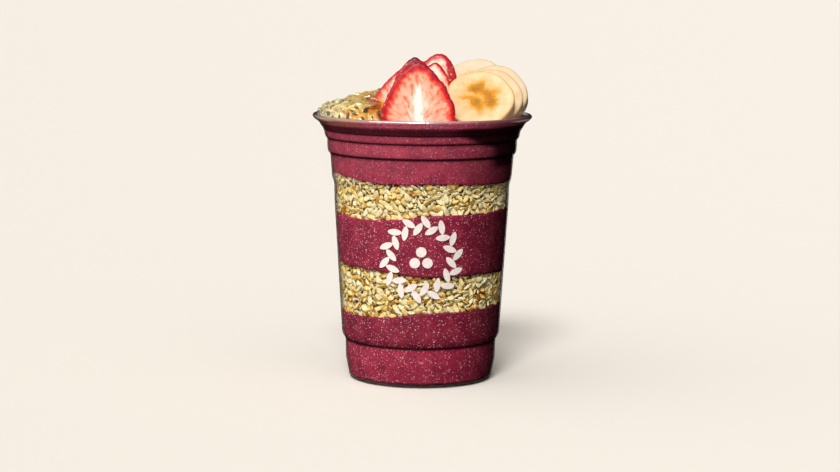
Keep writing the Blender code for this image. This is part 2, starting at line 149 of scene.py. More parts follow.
STRAWBERRY_MARKS = {
    # name: width of the red rim, of the skin inside it and of more skin at the right in mm,
    # share of painted shade and of red at the tip, width of the pale core in mm, its share and where it ends
    "strawberry_slice_front": (2.4, 0.5, 0.0, 0.1, 0.25, 1.1, 1.0, 0.9),
    "strawberry_slice_second": (3.4, 0.9, 0.0, 0.85, 0.5, 1.0, 1.0, 0.9),
    "strawberry_slice_left": (1.1, 0.6, 0.0, 0.0, 0.0, 11.0, 0.7, 1.3),
    "strawberry_slice_inner": (0.9, 0.4, 0.0, 0.0, 0.0, 8.0, 0.75, 1.3),
    "strawberry_slice_outer": (0.9, 1.7, 3.2, 0.0, 0.1, 9.0, 0.75, 1.3),
}

# Banana slices, leaning back on each other at the right
BANANA_RADIUS = 15.0 * MM
BANANA_THICKNESS = 6.4 * MM
BANANA_BEVEL = 0.7 * MM
BANANA_RELIEF = 0.12 * MM
BANANA_FRONT_TONE = 0.95
BANANA_PAINTED_SHADE_STEP = 0.07
BANANA_PALLOR = 0.16
BANANA_SLICES = {
    # name: x, y, z of the front face's centre in mm, lean and turn in degrees, size factor
    "banana_slice_front": (24.9, -19.5, 127.0, 40.0, 3.0, 1.0),
    "banana_slice_second": (29.0, -9.0, 126.6, 35.0, 4.0, 1.0),
    "banana_slice_third": (31.5, 1.2, 127.3, 30.0, 5.0, 1.0),
    "banana_slice_back": (24.0, 13.2, 128.6, 26.0, 4.0, 1.03),
}
BANANA_SPIN = 47.0
BANANA_LOBES_SCALE = 1.08
BANANA_LOBES_LIFT = 0.07
BANANA_LOBES = [
    # Golden patches round the middle: place, half width and half height as shares of the radius, depth
    (0.05, 0.47, 0.20, 0.22, 0.35),
    (-0.05, 0.28, 0.34, 0.30, 0.6),
    (-0.24, 0.24, 0.24, 0.18, 0.35),
    (-0.40, 0.38, 0.26, 0.16, 0.2),
    (-0.42, -0.05, 0.34, 0.12, 0.4),
    (-0.08, -0.22, 0.30, 0.32, 0.6),
    (0.03, -0.47, 0.18, 0.26, 0.45),
    (0.22, 0.10, 0.28, 0.22, 0.5),
    (0.47, 0.17, 0.20, 0.20, 0.4),
    (0.33, -0.20, 0.30, 0.38, 0.75),
    (0.04, -0.06, 0.16, 0.20, -0.2),
    (0.0, 0.0, 0.92, 0.86, 0.55),
]

# Passion fruit pulp, a heap of juicy sacs against the left wall
PULP_CENTRE = (-30.0 * MM, -4.0 * MM)
PULP_REACH = 30.0 * MM
PULP_SIDE = 12.4 * MM
PULP_SIDE_BEHIND = 9.0 * MM
PULP_WALL_HEIGHT = 2.4 * MM
PULP_RISE = 8.4 * MM
PULP_RISE_WIDTH = 24.0 * MM
PULP_WALL_GAP = 0.4 * MM
PULP_SAC_COVER = 1.6 * MM
PULP_GUIDE_LIFT = 0.6 * MM
PULP_CLEARANCE = 0.3 * MM
SAC_SIZE = (8.2 * MM, 5.4 * MM, 4.6 * MM)
SAC_POINT = 0.35
SAC_FACTORS = (0.8, 0.85, 0.9), (1.2, 1.15, 1.25)
SEED_SIZE = (6.2 * MM, 2.9 * MM, 1.7 * MM)
SEED_POINT = 0.5
SEED_FACTORS = (0.1, 0.1, 0.1), (0.95, 0.9, 0.9)
SAC_SPACING = 4.9 * MM
SAC_TILT = (0.6, 0.6, math.pi)
PULP_POOLS = [
    # Places with deeper juice: centre and reach in mm, colour
    ((-18.0, -26.0, 121.0), 8.5, "#bd7614"),
    ((-30.5, -32.0, 118.0), 6.5, "#f0b51a"),
]


# Camera, floor and light

def aim_camera():
    """A long lens a metre in front of the cup, looking down by about seven degrees."""
    forward = Vector((0.0, math.cos(CAMERA_DOWN), -math.sin(CAMERA_DOWN)))
    level = Vector((1.0, 0.0, 0.0))
    upright = level.cross(forward)
    right = level * math.cos(CAMERA_ROLL) + upright * math.sin(CAMERA_ROLL)
    up = upright * math.cos(CAMERA_ROLL) - level * math.sin(CAMERA_ROLL)
    lens = bpy.data.cameras.new("camera")
    lens.sensor_width = 36.0
    lens.lens = CAMERA_LENS
    lens.clip_start = 0.01
    camera = bpy.data.objects.new("camera", lens)
    axes = Matrix((right, up, -forward)).transposed()
    camera.matrix_world = Matrix.Translation(CAMERA_PLACE) @ axes.to_4x4()
    bpy.context.scene.collection.objects.link(camera)
    bpy.context.scene.camera = camera


def linear(hex_code):
    """An sRGB hex colour as linear red, green, blue and alpha."""
    channels = [int(hex_code[i:i + 2], 16) / 255.0 for i in (1, 3, 5)]
    return (*[c / 12.92 if c <= 0.04045 else ((c + 0.055) / 1.055) ** 2.4 for c in channels], 1.0)


def add(tree, kind, inputs=None, **settings):
    """A new node with its settings; inputs maps a socket to a value, a node or one output of a node."""
    node = tree.nodes.new(kind)
    for name, value in settings.items():
        setattr(node, name, value)
    for name, value in (inputs or {}).items():
        if isinstance(value, bpy.types.Node):
            value = next(output for output in value.outputs if output.enabled)
        if isinstance(value, bpy.types.NodeSocket):
            tree.links.new(value, node.inputs[name])
        else:
            node.inputs[name].default_value = value
    return node


def blank_material(name):
    """A material with an empty tree, and that tree."""
    material = bpy.data.materials.new(name)
    material.use_nodes = True
    material.node_tree.nodes.clear()
    return material, material.node_tree


def set_stops(ramp, stops):
    """Gives a colour ramp its stops, each a place and a hex colour."""
    elements = ramp.color_ramp.elements
    while len(elements) < len(stops):
        elements.new(0.5)
    for element, (place, hex_code) in zip(elements, stops):
        element.position = place
        element.color = linear(hex_code)
    return ramp


def lay_floor():
    """Matte cream paper sweep, wide enough to fill the view."""
    material, tree = blank_material("matte_cream_paper")
    surface = add(tree, "ShaderNodeBsdfDiffuse", {"Color": linear("#dad5ce"), "Roughness": 0.3})
    add(tree, "ShaderNodeOutputMaterial", {"Surface": surface})
    bm = bmesh.new()
    bmesh.ops.create_grid(bm, x_segments=1, y_segments=1, size=40.0)
    bmesh.ops.translate(bm, verts=bm.verts, vec=(0.0, 0.0, -0.2 * MM))
    mesh = bpy.data.meshes.new("paper_floor")
    bm.to_mesh(mesh)
    bm.free()
    mesh.materials.append(material)
    floor = bpy.data.objects.new("paper_floor", mesh)
    floor.visible_diffuse = False
    floor.visible_glossy = False
    bpy.context.scene.collection.objects.link(floor)


def set_lights():
    """A broad key from the left front, and a studio that is brighter at the left than at the right."""
    key = bpy.data.lights.new("key", "SUN")
    key.energy = 2.35
    key.angle = math.radians(15.0)
    key.color = (1.0, 0.98, 0.95)
    lamp = bpy.data.objects.new("key", key)
    turned = Matrix.Rotation(math.radians(-7.0), 4, "Z")
    lamp.matrix_world = turned @ Matrix.Rotation(math.radians(48.0), 4, "X")
    bpy.context.scene.collection.objects.link(lamp)
    panel = bpy.data.lights.new("softbox", "AREA")
    panel.shape = "RECTANGLE"
    panel.size = 1.2
    panel.size_y = 0.22
    panel.energy = 9.0
    softbox = bpy.data.objects.new("softbox", panel)
    place = Vector((-0.35, -0.75, 0.75))
    softbox.matrix_world = Matrix.Translation(place) @ place.to_track_quat("Z", "Y").to_matrix().to_4x4()
    softbox.visible_diffuse = False
    softbox.visible_camera = False
    bpy.context.scene.collection.objects.link(softbox)
    world = bpy.data.worlds.new("studio")
    bpy.context.scene.world = world
    world.use_nodes = True
    tree = world.node_tree
    tree.nodes.clear()
    direction = add(tree, "ShaderNodeTexCoord").outputs["Generated"]
    towards = add(tree, "ShaderNodeVectorMath", {0: direction, 1: (-0.6, -0.45, 0.66)},
                  operation="DOT_PRODUCT")
    strength = add(tree, "ShaderNodeMapRange", {0: towards, 1: -0.35, 2: 0.95, 3: 0.004, 4: 1.1},
                   interpolation_type="SMOOTHSTEP")
    light = add(tree, "ShaderNodeBackground", {"Color": (1.0, 0.97, 0.93, 1.0), "Strength": strength})
    seen = add(tree, "ShaderNodeBackground", {"Color": linear("#f6eee3"), "Strength": 1.0})
    camera_ray = add(tree, "ShaderNodeLightPath").outputs["Is Camera Ray"]
    both = add(tree, "ShaderNodeMixShader", {0: camera_ray, 1: light, 2: seen})
    add(tree, "ShaderNodeOutputWorld", {"Surface": both})
    bpy.context.scene.view_settings.view_transform = "Standard"


# Mesh tools

def link_mesh(name, mesh, material, smooth=50.0):
    """A linked object for a finished mesh, shaded smooth up to an edge angle in degrees."""
    mesh.shade_smooth()
    mesh.set_sharp_from_angle(angle=math.radians(smooth))
    mesh.materials.append(material)
    obj = bpy.data.objects.new(name, mesh)
    bpy.context.scene.collection.objects.link(obj)
    return obj


def skin(name, rings, material, smooth=50.0):
    """A surface over rings of points, in order; a ring of one point is a pole that closes it."""
    points = np.concatenate([np.asarray(ring, float).reshape(-1, 3) for ring in rings])
    starts = np.cumsum([0] + [len(ring) for ring in rings])
    faces = []
    for low, high, a, b in zip(starts, starts[1:], rings, rings[1:]):
        count = max(len(a), len(b))
        for i in range(count):
            j = (i + 1) % count
            corners = [low + i % len(a), low + j % len(a), high + j % len(b), high + i % len(b)]
            faces.append([int(c) for c in dict.fromkeys(corners)])
    mesh = bpy.data.meshes.new(name)
    mesh.from_pydata(points.tolist(), [], faces)
    bm = bmesh.new()
    bm.from_mesh(mesh)
    bmesh.ops.recalc_face_normals(bm, faces=bm.faces)
    bm.to_mesh(mesh)
    bm.free()
    return link_mesh(name, mesh, material, smooth)


def places(obj):
    """The points of a mesh as an array."""
    flat = np.zeros(len(obj.data.vertices) * 3, np.float32)
    obj.data.vertices.foreach_get("co", flat)
    return flat.reshape(-1, 3).astype(float)


def move_points(obj, points):
    """Gives a mesh new places for its points."""
    obj.data.vertices.foreach_set("co", np.asarray(points, np.float32).ravel())
    obj.data.update()


def store(obj, name, values):
    """Keeps one number a point, which the material reads by name."""
    layer = obj.data.attributes.new(name, "FLOAT", "POINT")
    layer.data.foreach_set("value", np.asarray(values, np.float32))


def lumps(points, size, seed=0.0):
    """Smooth noise from -1 to 1 at each point, with lumps of a size in metres."""
    return np.array([noise.noise(Vector(point) / size + Vector((seed, seed, seed))) for point in points])


def ease(low, high, value):
    """A smooth rise from 0 at low to 1 at high."""
    share = np.clip((value - low) / (high - low), 0.0, 1.0)
    return share * share * (3.0 - 2.0 * share)


def soften(points, radius, steps=4):
    """An outline whose inner corners are curves that start a radius away."""
    path = [Vector(p) for p in points]
    smooth = [tuple(path[0])]
    for before, corner, after in zip(path, path[1:], path[2:]):
        back = (before - corner) * min(0.45, radius / (before - corner).length)
        ahead = (after - corner) * min(0.45, radius / (after - corner).length)
        for step in range(steps + 1):
            t = step / steps
            smooth.append(tuple(corner + back * (1.0 - t) ** 2 + ahead * t ** 2))
    return smooth + [tuple(path[-1])]


def scatter_tree(material):
    """Lays copies of a small piece on a surface, turned at random, and joins them into one mesh."""
    tree = bpy.data.node_groups.new("scatter", "GeometryNodeTree")
    for label, kind in (("Geometry", "NodeSocketGeometry"), ("Piece", "NodeSocketObject"),
                        ("Spacing", "NodeSocketFloat"), ("Smallest", "NodeSocketVector"),
                        ("Largest", "NodeSocketVector"), ("Tilt", "NodeSocketVector"),
                        ("Seed", "NodeSocketInt")):
        tree.interface.new_socket(label, in_out="INPUT", socket_type=kind)
    tree.interface.new_socket("Geometry", in_out="OUTPUT", socket_type="NodeSocketGeometry")
    given = add(tree, "NodeGroupInput").outputs
    spots = add(tree, "GeometryNodeDistributePointsOnFaces",
                {"Mesh": given["Geometry"], "Distance Min": given["Spacing"], "Density Max": 1.0e7,
                 "Seed": given["Seed"]}, distribute_method="POISSON")
    against = add(tree, "ShaderNodeVectorMath", {0: given["Tilt"], 3: -1.0}, operation="SCALE")
    angles = add(tree, "FunctionNodeRandomValue", {0: against, 1: given["Tilt"], "Seed": given["Seed"]},
                 data_type="FLOAT_VECTOR")
    spin = add(tree, "FunctionNodeEulerToRotation", {"Euler": angles})
    rotation = add(tree, "FunctionNodeRotateRotation",
                   {"Rotation": spots.outputs["Rotation"], "Rotate By": spin}, rotation_space="LOCAL")
    sizes = add(tree, "FunctionNodeRandomValue", {0: given["Smallest"], 1: given["Largest"], "Seed": 11},
                data_type="FLOAT_VECTOR")
    piece = add(tree, "GeometryNodeObjectInfo", {"Object": given["Piece"]})
    copies = add(tree, "GeometryNodeInstanceOnPoints",
                 {"Points": spots.outputs["Points"], "Instance": piece.outputs["Geometry"],
                  "Rotation": rotation, "Scale": sizes})
    tone = add(tree, "FunctionNodeRandomValue", {"Seed": 5}, data_type="FLOAT")
    toned = add(tree, "GeometryNodeStoreNamedAttribute",
                {"Geometry": copies, "Name": "tone", "Value": tone},
                data_type="FLOAT", domain="INSTANCE")
    joined = add(tree, "GeometryNodeRealizeInstances", {"Geometry": toned})
    painted = add(tree, "GeometryNodeSetMaterial", {"Geometry": joined, "Material": material})
    add(tree, "NodeGroupOutput", {"Geometry": painted})
    return tree


def scatter(name, surface, piece, material, spacing, smallest, largest, tilt, seed):
    """One mesh of copies of a piece, laid over a surface; sizes are factors along the piece's axes."""
    tree = scatter_tree(material)
    modifier = surface.modifiers.new("scatter", "NODES")
    modifier.node_group = tree
    values = {"Piece": piece, "Spacing": spacing, "Smallest": smallest, "Largest": largest,
              "Tilt": tilt, "Seed": seed}
    for item in tree.interface.items_tree:
        if item.in_out == "INPUT" and item.name in values:
            modifier[item.identifier] = values[item.name]
    graph = bpy.context.evaluated_depsgraph_get()
    mesh = bpy.data.meshes.new_from_object(surface.evaluated_get(graph))
    surface.modifiers.remove(modifier)
    mesh.materials.clear()
    return link_mesh(name, mesh, material, 180.0)


def join(name, objects, material):
    """One mesh of several closed ones."""
    bm = bmesh.new()
    for obj in objects:
        bm.from_mesh(obj.data)
    discard(*objects)
    mesh = bpy.data.meshes.new(name)
    bm.to_mesh(mesh)
    bm.free()
    return link_mesh(name, mesh, material)


def discard(*objects):
    """Removes guides and patterns that aren't part of the cup."""
    for obj in objects:
        bpy.data.objects.remove(obj)


# Clear cup

WALL_LINE = soften(HEEL_AND_STEP + PLAIN_WALL + RIDGES + COLLAR, CORNER)
WALL_RADII = np.array([r for r, _ in WALL_LINE]) * MM
WALL_HEIGHTS = np.array([z for _, z in WALL_LINE]) * MM
FILL_RADII = np.append(WALL_RADII - WALL, LIP[-1][0] * MM) + BITE
FILL_HEIGHTS = np.append(WALL_HEIGHTS, LIP[-1][1] * MM)
ANGLES = np.arange(ROUND) * TURN / ROUND


def outer_radius(z):
    """Outside radius of the cup wall at a height."""
    return np.interp(z, WALL_HEIGHTS, WALL_RADII)


def fill_radius(z):
    """Radius of what fills the cup, which reaches just into the wall and the lip."""
    return np.interp(z, FILL_HEIGHTS, FILL_RADII)


def ring(radius, z, angles=ANGLES):
    """Points round the axis; radius and height are one value or one for each angle."""
    radius, z = np.broadcast_to(radius, angles.shape), np.broadcast_to(z, angles.shape)
    return np.stack([radius * np.cos(angles), radius * np.sin(angles), z], axis=1)


def clear_plastic():
    """PET sheet drawn into a mould: colourless and glassy, so light passes and the edges mirror."""
    material, tree = blank_material("clear_drawn_pet")
    through = add(tree, "ShaderNodeBsdfTransparent", {"Color": (0.96, 0.96, 0.96, 1.0)})
    gloss = add(tree, "ShaderNodeBsdfAnisotropic", {"Color": (1.0, 1.0, 1.0, 1.0), "Roughness": 0.08})
    edge_on = add(tree, "ShaderNodeLayerWeight", {"Blend": 0.5}).outputs["Facing"]
    mirror = add(tree, "ShaderNodeMapRange", {0: edge_on, 1: 0.66, 2: 0.97, 3: 0.006, 4: 0.8},
                 interpolation_type="SMOOTHSTEP")
    both = add(tree, "ShaderNodeMixShader", {0: mirror, 1: through, 2: gloss})
    add(tree, "ShaderNodeOutputMaterial", {"Surface": both})
    return material


def rolled_plastic():
    """The same PET, rolled into the lip: thick, so it bends what lies behind it into bright lines."""
    material, tree = blank_material("clear_rolled_pet")
    glass = add(tree, "ShaderNodeBsdfPrincipled",
                {"Base Color": (0.95, 0.93, 0.95, 1.0), "Roughness": 0.08, "IOR": 1.4,
                 "Transmission Weight": 0.93, "Coat Weight": 1.0, "Coat Roughness": 0.12, "Coat IOR": 2.2})
    open_way = add(tree, "ShaderNodeBsdfTransparent", {"Color": (0.9, 0.88, 0.9, 1.0)})
    shadow_ray = add(tree, "ShaderNodeLightPath").outputs["Is Shadow Ray"]
    both = add(tree, "ShaderNodeMixShader", {0: shadow_ray, 1: glass, 2: open_way})
    add(tree, "ShaderNodeOutputMaterial", {"Surface": both})
    return material


def make_cup():
    """Thin turned wall with stacking steps, ridges, a collar and a rolled lip."""
    wall_and_lip = HEEL_AND_STEP + PLAIN_WALL + RIDGES + COLLAR + LIP
    collar_radius, collar_height = COLLAR[-1]
    outside = soften(UNDERSIDE + wall_and_lip + [(collar_radius - WALL / MM, collar_height)], CORNER)
    inside = [(r - WALL / MM, z) for r, z in reversed(WALL_LINE[:-1]) if z > FLOOR_TOP / MM]
    outline = outside + inside + [(HEEL_AND_STEP[0][0] - WALL / MM, FLOOR_TOP / MM)]
    rings = [[(0.0, 0.0, UNDERSIDE[0][1] * MM)]]
    rings += [ring(r * MM, z * MM) for r, z in outline]
    rings.append([(0.0, 0.0, FLOOR_TOP)])
    cup = skin("cup_wall_and_lip", rings, clear_plastic(), 70.0)
    cup.data.materials.append(rolled_plastic())
    for face in cup.data.polygons:
        face.material_index = int(face.center.z > LIP_FROM)
    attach(cup, "root")
    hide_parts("cup")


# Print on the wall

def white_ink():
    """Screen-printed ink cured on plastic: an opaque, matte off-white film, a little uneven in its coat."""
    material, tree = blank_material("screen_printed_white_ink")
    place = add(tree, "ShaderNodeTexCoord").outputs["Object"]
    coat = add(tree, "ShaderNodeTexNoise", {"Vector": place, "Scale": 1.0 / (1.5 * MM), "Detail": 3.0})
    ramp = add(tree, "ShaderNodeValToRGB", {0: coat})
    colour = set_stops(ramp, [(0.35, "#eedfd8"), (0.6, "#f9ece5")])
    surface = add(tree, "ShaderNodeBsdfPrincipled", {"Base Color": colour, "Roughness": 0.5})
    add(tree, "ShaderNodeOutputMaterial", {"Surface": surface})
    return material


def printed(shape, across, up, turn, ink):
    """A motif on the wall's front; shape and place in metres on the unrolled wall, turn in radians."""
    rings = []
    levels = [(share, 1.0) for share in (0.0, 0.35, 0.7, 1.0)] + [(share, -0.5) for share in (1.0, 0.5, 0.0)]
    for share, lift in levels:
        flat = shape[:1] * 0.0 if share == 0.0 else shape * share
        u = across + flat[:, 0] * math.cos(turn) - flat[:, 1] * math.sin(turn)
        z = PRINT_HEIGHT + up + flat[:, 0] * math.sin(turn) + flat[:, 1] * math.cos(turn)
        reach = outer_radius(z)
        rings.append(ring(reach + lift * INK_LIFT, z, u / reach - math.pi / 2.0))
    return skin("motif", rings, ink)


def make_print():
    """A round of paired leaves about three berries, a plain pattern in white ink."""
    ink = white_ink()
    around = np.arange(20) * TURN / 20
    swell = np.sign(np.sin(around)) * np.abs(np.sin(around)) ** 1.4
    leaf = np.stack([0.5 * PRINT_LEAF * np.cos(around), 0.22 * PRINT_LEAF * swell], axis=1)
    berry = 0.5 * PRINT_BERRY * np.stack([np.cos(around), np.sin(around)], axis=1)
    motifs = []
    for step in range(PRINT_LEAVES):
        bearing = TURN * step / PRINT_LEAVES
        for side in (1.0, -1.0):
            reach = PRINT_RADIUS + side * PRINT_LEAF_SPREAD
            shift = bearing + 0.25 * side * TURN / PRINT_LEAVES
            motifs.append(printed(leaf, reach * math.cos(shift), reach * math.sin(shift),
                                  bearing + math.pi / 2.0 - side * PRINT_LEAF_LEAN, ink))
    for step in range(3):
        bearing = TURN * (step / 3.0 + 0.25)
        motifs.append(printed(berry, PRINT_BERRY_REACH * math.cos(bearing),
                              PRINT_BERRY_REACH * math.sin(bearing), 0.0, ink))
    film = join("wall_print", motifs, ink)
    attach(film, "root")


# Acai

def boundary(levels, angles, share=1.0):
    """Height of a layer boundary; share 1 is at the wall and 0 on the axis."""
    left, front, right = (level * MM for level in levels)
    middle = (left + right) / 2.0
    swing = (right - left) / 2.0 * np.cos(angles) + (middle - front) * np.sin(angles)
    ripple = RIPPLE * (np.sin(3.0 * angles + levels[0]) + np.sin(5.0 * angles + levels[2]))
    crumbs = CRUMBLE * lumps(ring(40.0 * MM, 0.0, angles), CRUMBLE_SIZE, levels[1])
    return middle + (swing + ripple + crumbs) * share * share


def acai_top(x, y):
    """Height of the acai's upper surface, a low dome with a slow swirl."""
    share = np.minimum(1.0, np.hypot(x, y) / fill_radius(ACAI_EDGE_HEIGHT))
    wave = ACAI_SWIRL * np.sin(x / (9.0 * MM)) * np.cos(y / (7.0 * MM)) * (1.0 - share)
    return ACAI_EDGE_HEIGHT + ACAI_DOME * (1.0 - share * share) + wave + ACAI_CLIMB * ease(0.9, 1.0, share)


def frozen_acai():
    """Frozen acai blended with ice: a matte, deep purple-red puree full of fine pale frost specks."""
    material, tree = blank_material("frozen_acai_puree")
    place = add(tree, "ShaderNodeTexCoord").outputs["Object"]
    axes = add(tree, "ShaderNodeSeparateXYZ", {0: place}).outputs
    at_wall = add(tree, "ShaderNodeAttribute", attribute_name="at_wall").outputs["Fac"]
    eased = {}
    for name, (axis, start, end, first, last) in ACAI_EASES.items():
        eased[name] = add(tree, "ShaderNodeMapRange",
                          {0: axes[axis], 1: start * MM, 2: end * MM, 3: first, 4: last})

    # Puree, darker where less light reaches, mottled by crystals and hazed with frost towards the top
    cloud = add(tree, "ShaderNodeTexNoise", {"Vector": place, "Scale": 1.0 / (7.0 * MM), "Detail": 4.0})
    ramp = add(tree, "ShaderNodeValToRGB", {0: cloud})
    colour = set_stops(ramp, [(0.3, "#8a2340"), (0.5, "#9f2a44"), (0.7, "#b03850")])
    light = add(tree, "ShaderNodeMath", {0: eased["light"], 1: eased["foot"]}, operation="ADD")
    mottle = add(tree, "ShaderNodeTexNoise", {"Vector": place, "Scale": 1.0 / (0.8 * MM), "Detail": 2.0})
    mottle = add(tree, "ShaderNodeMapRange", {0: mottle, 1: 0.3, 2: 0.7, 3: 0.6, 4: 1.14})
    for factor in (light, mottle):
        colour = add(tree, "ShaderNodeVectorMath", {0: colour, 3: factor}, operation="SCALE")
    layers = [(eased["bloom"], FROST_TINT)]

    # Real frost is finer than a pixel, so the specks are drawn 0.5 to 1 mm wide to show
    for cell, radius, share, strength in FROST_SPECKS:
        frost = add(tree, "ShaderNodeTexVoronoi", {"Vector": place, "Scale": 1.0 / (cell * MM)})
        speck = add(tree, "ShaderNodeMapRange", {0: frost.outputs["Distance"], 1: radius, 2: 0.6 * radius})
        chance = add(tree, "ShaderNodeSeparateXYZ", {0: frost.outputs["Color"]})
        kept = add(tree, "ShaderNodeMapRange", {0: chance, 1: share, 2: 1.0, 3: 0.0, 4: strength})
        for factor in (kept, eased["icy"]):
            speck = add(tree, "ShaderNodeMath", {0: speck, 1: factor}, operation="MULTIPLY")
        layers.append((speck, FROST_TINT))

    # Painted shade against the wall at the right, most of all above the upper granola
    slant = add(tree, "ShaderNodeMapRange",
                {0: axes["Z"], 1: 106.0 * MM, 2: 112.0 * MM, 3: 0.0, 4: 14.0 * MM})
    slant = add(tree, "ShaderNodeMath", {0: axes["X"], 1: slant}, operation="ADD")
    painted_right_shade = add(tree, "ShaderNodeMapRange", {0: slant, 1: 24.5 * MM, 2: 34.0 * MM, 3: 0.0, 4: 0.97},
                 interpolation_type="SMOOTHSTEP")
    for factor, operation in ((eased["raised"], "MULTIPLY"), (eased["under_lip"], "MULTIPLY"),
                              (eased["shaded"], "MAXIMUM"), (at_wall, "MULTIPLY")):
        painted_right_shade = add(tree, "ShaderNodeMath", {0: painted_right_shade, 1: factor}, operation=operation)
    layers.append((painted_right_shade, "#17050b"))

    # Painted shade in lines at the steps of the wall and on the collar, and juice that seeped in under the
    # pulp
    for line, width, depth in WALL_SHADOWS:
        away = add(tree, "ShaderNodeMath", {0: axes["Z"], 1: line * MM}, operation="SUBTRACT")
        away = add(tree, "ShaderNodeMath", {0: away}, operation="ABSOLUTE")
        dark = add(tree, "ShaderNodeMapRange",
                   {0: away, 1: 0.3 * width * MM, 2: width * MM, 3: depth, 4: 0.0},
                   interpolation_type="SMOOTHSTEP")
        layers.append((dark, "#1c040a"))
    collar = add(tree, "ShaderNodeMath", {0: eased["collar"], 1: eased["under_lip"]}, operation="MULTIPLY")
    seeped = eased["seeped"]
    for factor in (eased["topmost"], at_wall):
        seeped = add(tree, "ShaderNodeMath", {0: seeped, 1: factor}, operation="MULTIPLY")
    for share, tint in layers + [(collar, "#2c050d"), (seeped, "#94663a")]:
        colour = add(tree, "ShaderNodeMix", {0: share, 6: colour, 7: linear(tint)}, data_type="RGBA")

    grain = add(tree, "ShaderNodeTexNoise", {"Vector": place, "Scale": 1.0 / (0.8 * MM), "Detail": 3.0})
    relief = add(tree, "ShaderNodeBump", {"Strength": 0.4, "Distance": 0.2 * MM, "Height": grain})
    surface = add(tree, "ShaderNodeBsdfPrincipled",
                  {"Base Color": colour, "Roughness": 0.55, "Specular IOR Level": 0.06, "Normal": relief})
    add(tree, "ShaderNodeOutputMaterial", {"Surface": surface})
    return material


def level_rings(levels, shares):
    """Rings of a layer boundary at shares of the radius."""
    rings = []
    for share in shares:
        z = boundary(levels, ANGLES, share)
        rings.append(ring(fill_radius(z) * share, z))
    return rings


def side_rings(foot, head, rows):
    """Rings up the wall between two heights, each one value or one for each angle."""
    shares = np.arange(1, rows) / rows
    return [ring(fill_radius(foot + (head - foot) * share), foot + (head - foot) * share) for share in shares]


def pole(levels):
    """Where a layer boundary meets the axis."""
    return [(0.0, 0.0, boundary(levels, ANGLES[:1], 0.0)[0])]


def make_acai():
    """Three fills of acai, the top one with a domed surface under the fruit."""
    material = frozen_acai()
    outward = (0.3, 0.6, 0.85, 1.0)
    inward = outward[::-1]
    floor = FLOOR_TOP - BITE
    lower = [[(0.0, 0.0, floor)], ring(fill_radius(floor), floor)]
    lower += side_rings(floor, boundary(GRANOLA_LOWER_FOOT, ANGLES), ACAI_ROWS["lower"])
    lower += level_rings(GRANOLA_LOWER_FOOT, inward) + [pole(GRANOLA_LOWER_FOOT)]
    middle = [pole(GRANOLA_LOWER_HEAD)] + level_rings(GRANOLA_LOWER_HEAD, outward)
    middle += side_rings(boundary(GRANOLA_LOWER_HEAD, ANGLES), boundary(GRANOLA_UPPER_FOOT, ANGLES),
                         ACAI_ROWS["middle"])
    middle += level_rings(GRANOLA_UPPER_FOOT, inward) + [pole(GRANOLA_UPPER_FOOT)]
    top = [pole(GRANOLA_UPPER_HEAD)] + level_rings(GRANOLA_UPPER_HEAD, outward)
    edge = ACAI_EDGE_HEIGHT + ACAI_CLIMB
    top += side_rings(boundary(GRANOLA_UPPER_HEAD, ANGLES), np.full(ROUND, edge), ACAI_ROWS["top"])
    for share in np.linspace(1.0, 0.04, 40):
        flat = ring(fill_radius(edge) * share, 0.0)
        relief = 0.35 * MM * lumps(flat, 6.0 * MM) + 0.15 * MM * lumps(flat, 1.6 * MM)
        flat[:, 2] = acai_top(flat[:, 0], flat[:, 1]) + relief * min(1.0, 12.0 * (1.0 - share))
        top.append(flat)
    top.append([(0.0, 0.0, float(acai_top(0.0, 0.0)))])
    for name, rings in (("lower", lower), ("middle", middle), ("top", top)):
        fill = skin("acai_fill_" + name, rings, material, 180.0)
        points = places(fill)
        share = np.hypot(points[:, 0], points[:, 1]) / fill_radius(points[:, 2])
        store(fill, "at_wall", ease(0.95, 0.99, share))
        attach(fill, "root")
        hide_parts("acai_" + name)


# Granola

def toasted_oats():
    """Rolled oats baked with syrup: dry and matte, pale beige with golden toasted patches."""
    material, tree = blank_material("toasted_rolled_oats")
    place = add(tree, "ShaderNodeTexCoord").outputs["Object"]
    height = add(tree, "ShaderNodeSeparateXYZ", {0: place}).outputs["Z"]
    tone, depth = [add(tree, "ShaderNodeAttribute", attribute_name=name).outputs["Fac"]
                   for name in ("tone", "depth")]
    patch, toast, fleck, grain = [
        add(tree, "ShaderNodeTexNoise", {"Vector": place, "Scale": 1.0 / (size * MM), "Detail": detail})
        for size, detail in ((2.2, 3.0), (6.0, 1.0), (0.9, 2.0), (0.5, 4.0))]

    # Each flake has a tone of its own and patches on it; some places are toasted, and the upper layer is
    # drawn paler as painted light
    toast = add(tree, "ShaderNodeMapRange", {0: toast, 1: 0.52, 2: 0.66, 3: 0.0, 4: -0.14})
    pale = add(tree, "ShaderNodeMapRange", {0: height, 1: 62.0 * MM, 2: 70.0 * MM, 3: 0.0, 4: 0.05})
    mixed = add(tree, "ShaderNodeMath", {0: tone, 1: 0.55, 2: -0.28}, operation="MULTIPLY_ADD")
    for share in (patch, toast, pale):
        mixed = add(tree, "ShaderNodeMath", {0: mixed, 1: share}, operation="ADD")
    ramp = add(tree, "ShaderNodeValToRGB", {0: mixed})
    colour = set_stops(ramp, [(0.1, "#9c641a"), (0.22, "#ecb856"), (0.35, "#ffe38c"), (0.66, "#fff2c2")])

    # Flecks of bran, and painted shade that browns what lies deeper behind the wall
    fleck = add(tree, "ShaderNodeMapRange", {0: fleck, 1: 0.33, 2: 0.44, 3: 0.42, 4: 0.0})
    for share, tint in ((fleck, "#925a12"), (depth, "#7c4a06")):
        colour = add(tree, "ShaderNodeMix", {0: share, 6: colour, 7: linear(tint)}, data_type="RGBA")
    relief = add(tree, "ShaderNodeBump", {"Strength": 0.6, "Distance": 0.15 * MM, "Height": grain})
    surface = add(tree, "ShaderNodeBsdfPrincipled",
                  {"Base Color": colour, "Roughness": 0.75, "Specular IOR Level": 0.15, "Normal": relief})
    add(tree, "ShaderNodeOutputMaterial", {"Surface": surface})
    return material


